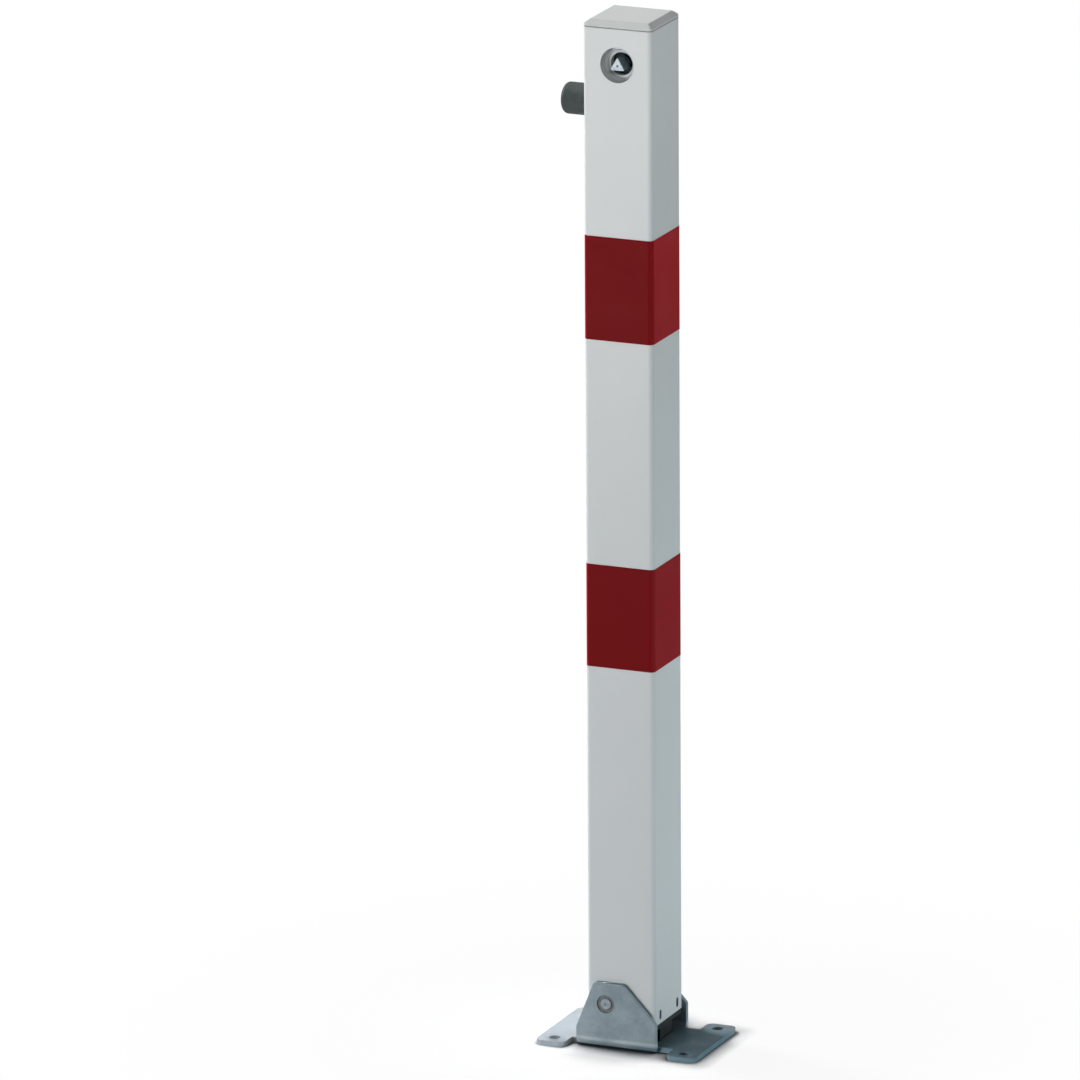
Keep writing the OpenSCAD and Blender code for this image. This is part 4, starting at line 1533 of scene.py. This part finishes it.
@dataclass
class Studio:
    """Floor, sky, lamps and camera.

    Attributes:
        contact_range: Openness at which the contact shadow is full, and at which it ends.
        near_shadow: Share of the lamps' shadow that the floor keeps at the foot.
        near_fade: Distance over which that share falls to the far one.
        far_shadow: Share of the lamps' shadow that the floor keeps further out.
        far_fade: Distances between which the rest of the shadow fades away.
    """

    floor_half: float = 30.0
    floor_colour: Colour = (0.55, 0.56, 0.57)
    floor_roughness: float = 0.9
    seen_floor_colour: Colour = (0.94, 0.95, 0.96)
    # Painted shadow colour of the floor where the post meets it.
    contact_shadow_colour: Colour = (0.03, 0.037, 0.04)
    contact_reach: float = 0.08
    contact_range: Span = (0.5, 0.92)
    contact_samples: int = 16
    near_shadow: float = 0.9
    near_fade: float = 0.02
    far_shadow: float = 0.08
    far_fade: Span = (0.05, 0.5)
    sky_strength: float = 0.05
    lamps: tuple[Lamp, ...] = LAMPS
    camera_place: tuple[float, float, float] = (4.6424, -11.0658, 3.8611)
    camera_azimuth: float = 23.182
    camera_elevation: float = 15.664
    camera_roll: float = -0.349
    camera_reach: float = 100.0
    focal_length: float = 437.8
    sensor_width: float = 36.0

    def build(self) -> None:
        """Builds the whole studio."""
        self.build_floor()
        self.build_sky()
        for lamp in self.lamps:
            lamp.build()
        self.build_camera()

    def seen_rays(self, sketch: NodeSketch) -> Socket:
        """Marks the rays that see the background, directly or in a reflection.

        Args:
            sketch: The tree of the floor or the sky.

        Returns:
            1 for such a ray and 0 for the others.
        """
        path = sketch.add("ShaderNodeLightPath").outputs
        seen = sketch.reckon("MAXIMUM", path["Is Camera Ray"], path["Is Glossy Ray"])
        return sketch.reckon("MAXIMUM", seen, path["Is Transmission Ray"])

    def foot_distance(self, sketch: ShaderSketch) -> Socket:
        """Measures how far a floor point lies outside the base sheet's rectangle.

        Args:
            sketch: The floor's material.

        Returns:
            The distance, which is 0 under the sheet.
        """
        low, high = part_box("base_bracket")
        centre = centre_of("base_bracket")
        half = (high - low) / 2
        offset = sketch.vector("SUBTRACT", sketch.place, (centre.x, centre.y, 0.0))
        spread = sketch.vector("ABSOLUTE", offset)
        past = sketch.vector("SUBTRACT", spread, (half.x, half.y, 0.0))
        return sketch.length(sketch.vector("MAXIMUM", past))

    def build_floor(self) -> None:
        """Builds the pale floor, with a painted contact shadow near the post, and a lamp shadow
        that is full at the foot and faint further out.
        """
        reach = self.floor_half
        mesh = bpy.data.meshes.new("studio_floor")
        corners = [(-reach, -reach, 0), (reach, -reach, 0), (reach, reach, 0), (-reach, reach, 0)]
        mesh.from_pydata(corners, [], [(0, 1, 2, 3)])
        floor = add_object("studio_floor", mesh)
        sketch = ShaderSketch("studio_floor")
        seen = self.seen_rays(sketch)
        # Painted shadow: ambient occlusion darkens the floor's colour and glow towards a dark
        # contact colour.
        feeds = {"Distance": self.contact_reach}
        near = sketch.add("ShaderNodeAmbientOcclusion", feeds, samples=self.contact_samples)
        open_share = sketch.spread(near.outputs["AO"], self.contact_range)
        pale = sketch.blend(open_share, self.contact_shadow_colour, self.seen_floor_colour)
        white = sketch.blend(open_share, self.contact_shadow_colour, WHITE)
        sketch.feed("Base Color", sketch.blend(seen, self.floor_colour, pale))
        sketch.feed("Roughness", self.floor_roughness)
        sketch.feed("Specular IOR Level", 0.0)
        glow = sketch.add("ShaderNodeEmission", {"Color": white})
        distance = self.foot_distance(sketch)
        near_glow = (1 - self.near_shadow, 1 - self.far_shadow)
        near_share = sketch.spread(distance, (0.0, self.near_fade), near_glow)
        far_share = sketch.spread(distance, self.far_fade, (0.0, self.far_shadow))
        share = sketch.times(seen, sketch.reckon("ADD", near_share, far_share))
        feeds = {0: share, 1: sketch.shader.outputs[0], 2: glow.outputs[0]}
        mix = sketch.add("ShaderNodeMixShader", feeds)
        output = sketch.tree.nodes["Material Output"]
        sketch.tree.links.new(mix.outputs[0], output.inputs["Surface"])
        mesh.materials.append(sketch.material)
        floor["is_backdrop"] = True

    def build_sky(self) -> None:
        """Builds the white background and the soft light that comes from it."""
        world = bpy.data.worlds.new("studio_sky")
        world.use_nodes = True
        bpy.context.scene.world = world
        sketch = NodeSketch(world.node_tree)
        sky = world.node_tree.nodes["Background"]
        sky.inputs["Color"].default_value = (*WHITE, 1)
        strength = sketch.spread(self.seen_rays(sketch), FULL_SPAN, (self.sky_strength, 1.0))
        world.node_tree.links.new(strength, sky.inputs["Strength"])

    def build_camera(self) -> None:
        """Adds the camera at the photograph's viewing angle."""
        lens = bpy.data.cameras.new("camera")
        lens.lens = self.focal_length
        lens.sensor_width = self.sensor_width
        lens.clip_end = self.camera_reach
        camera = bpy.data.objects.new("camera", lens)
        bpy.context.scene.collection.objects.link(camera)
        camera.matrix_world = (
            Matrix.Translation(self.camera_place)
            @ Matrix.Rotation(math.radians(self.camera_azimuth), 4, "Z")
            @ Matrix.Rotation(math.radians(90 - self.camera_elevation), 4, "X")
            @ Matrix.Rotation(math.radians(self.camera_roll), 4, "Z")
        )
        bpy.context.scene.camera = camera
        bpy.context.scene.view_settings.view_transform = "Standard"


def write_sizes() -> None:
    """Works out the CAD box and the visual model's box as plain lists."""
    boxes = {"cad": CAD_BOX, "visual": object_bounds()}
    plain = {name: [[float(x) for x in corner] for corner in box] for name, box in boxes.items()}


def main() -> None:
    """Builds the studio and every part of the post, and reports the pieces."""
    logging.basicConfig(level=logging.INFO, format="%(message)s")
    Studio().build()
    for assembly in (Post(), BaseBracket(), Hinge(), KeyRecess(), Buffer()):
        assembly.build()
        assembly.report()
    InnerWorks().build()
    write_sizes()


if __name__ == "__main__":
    main()
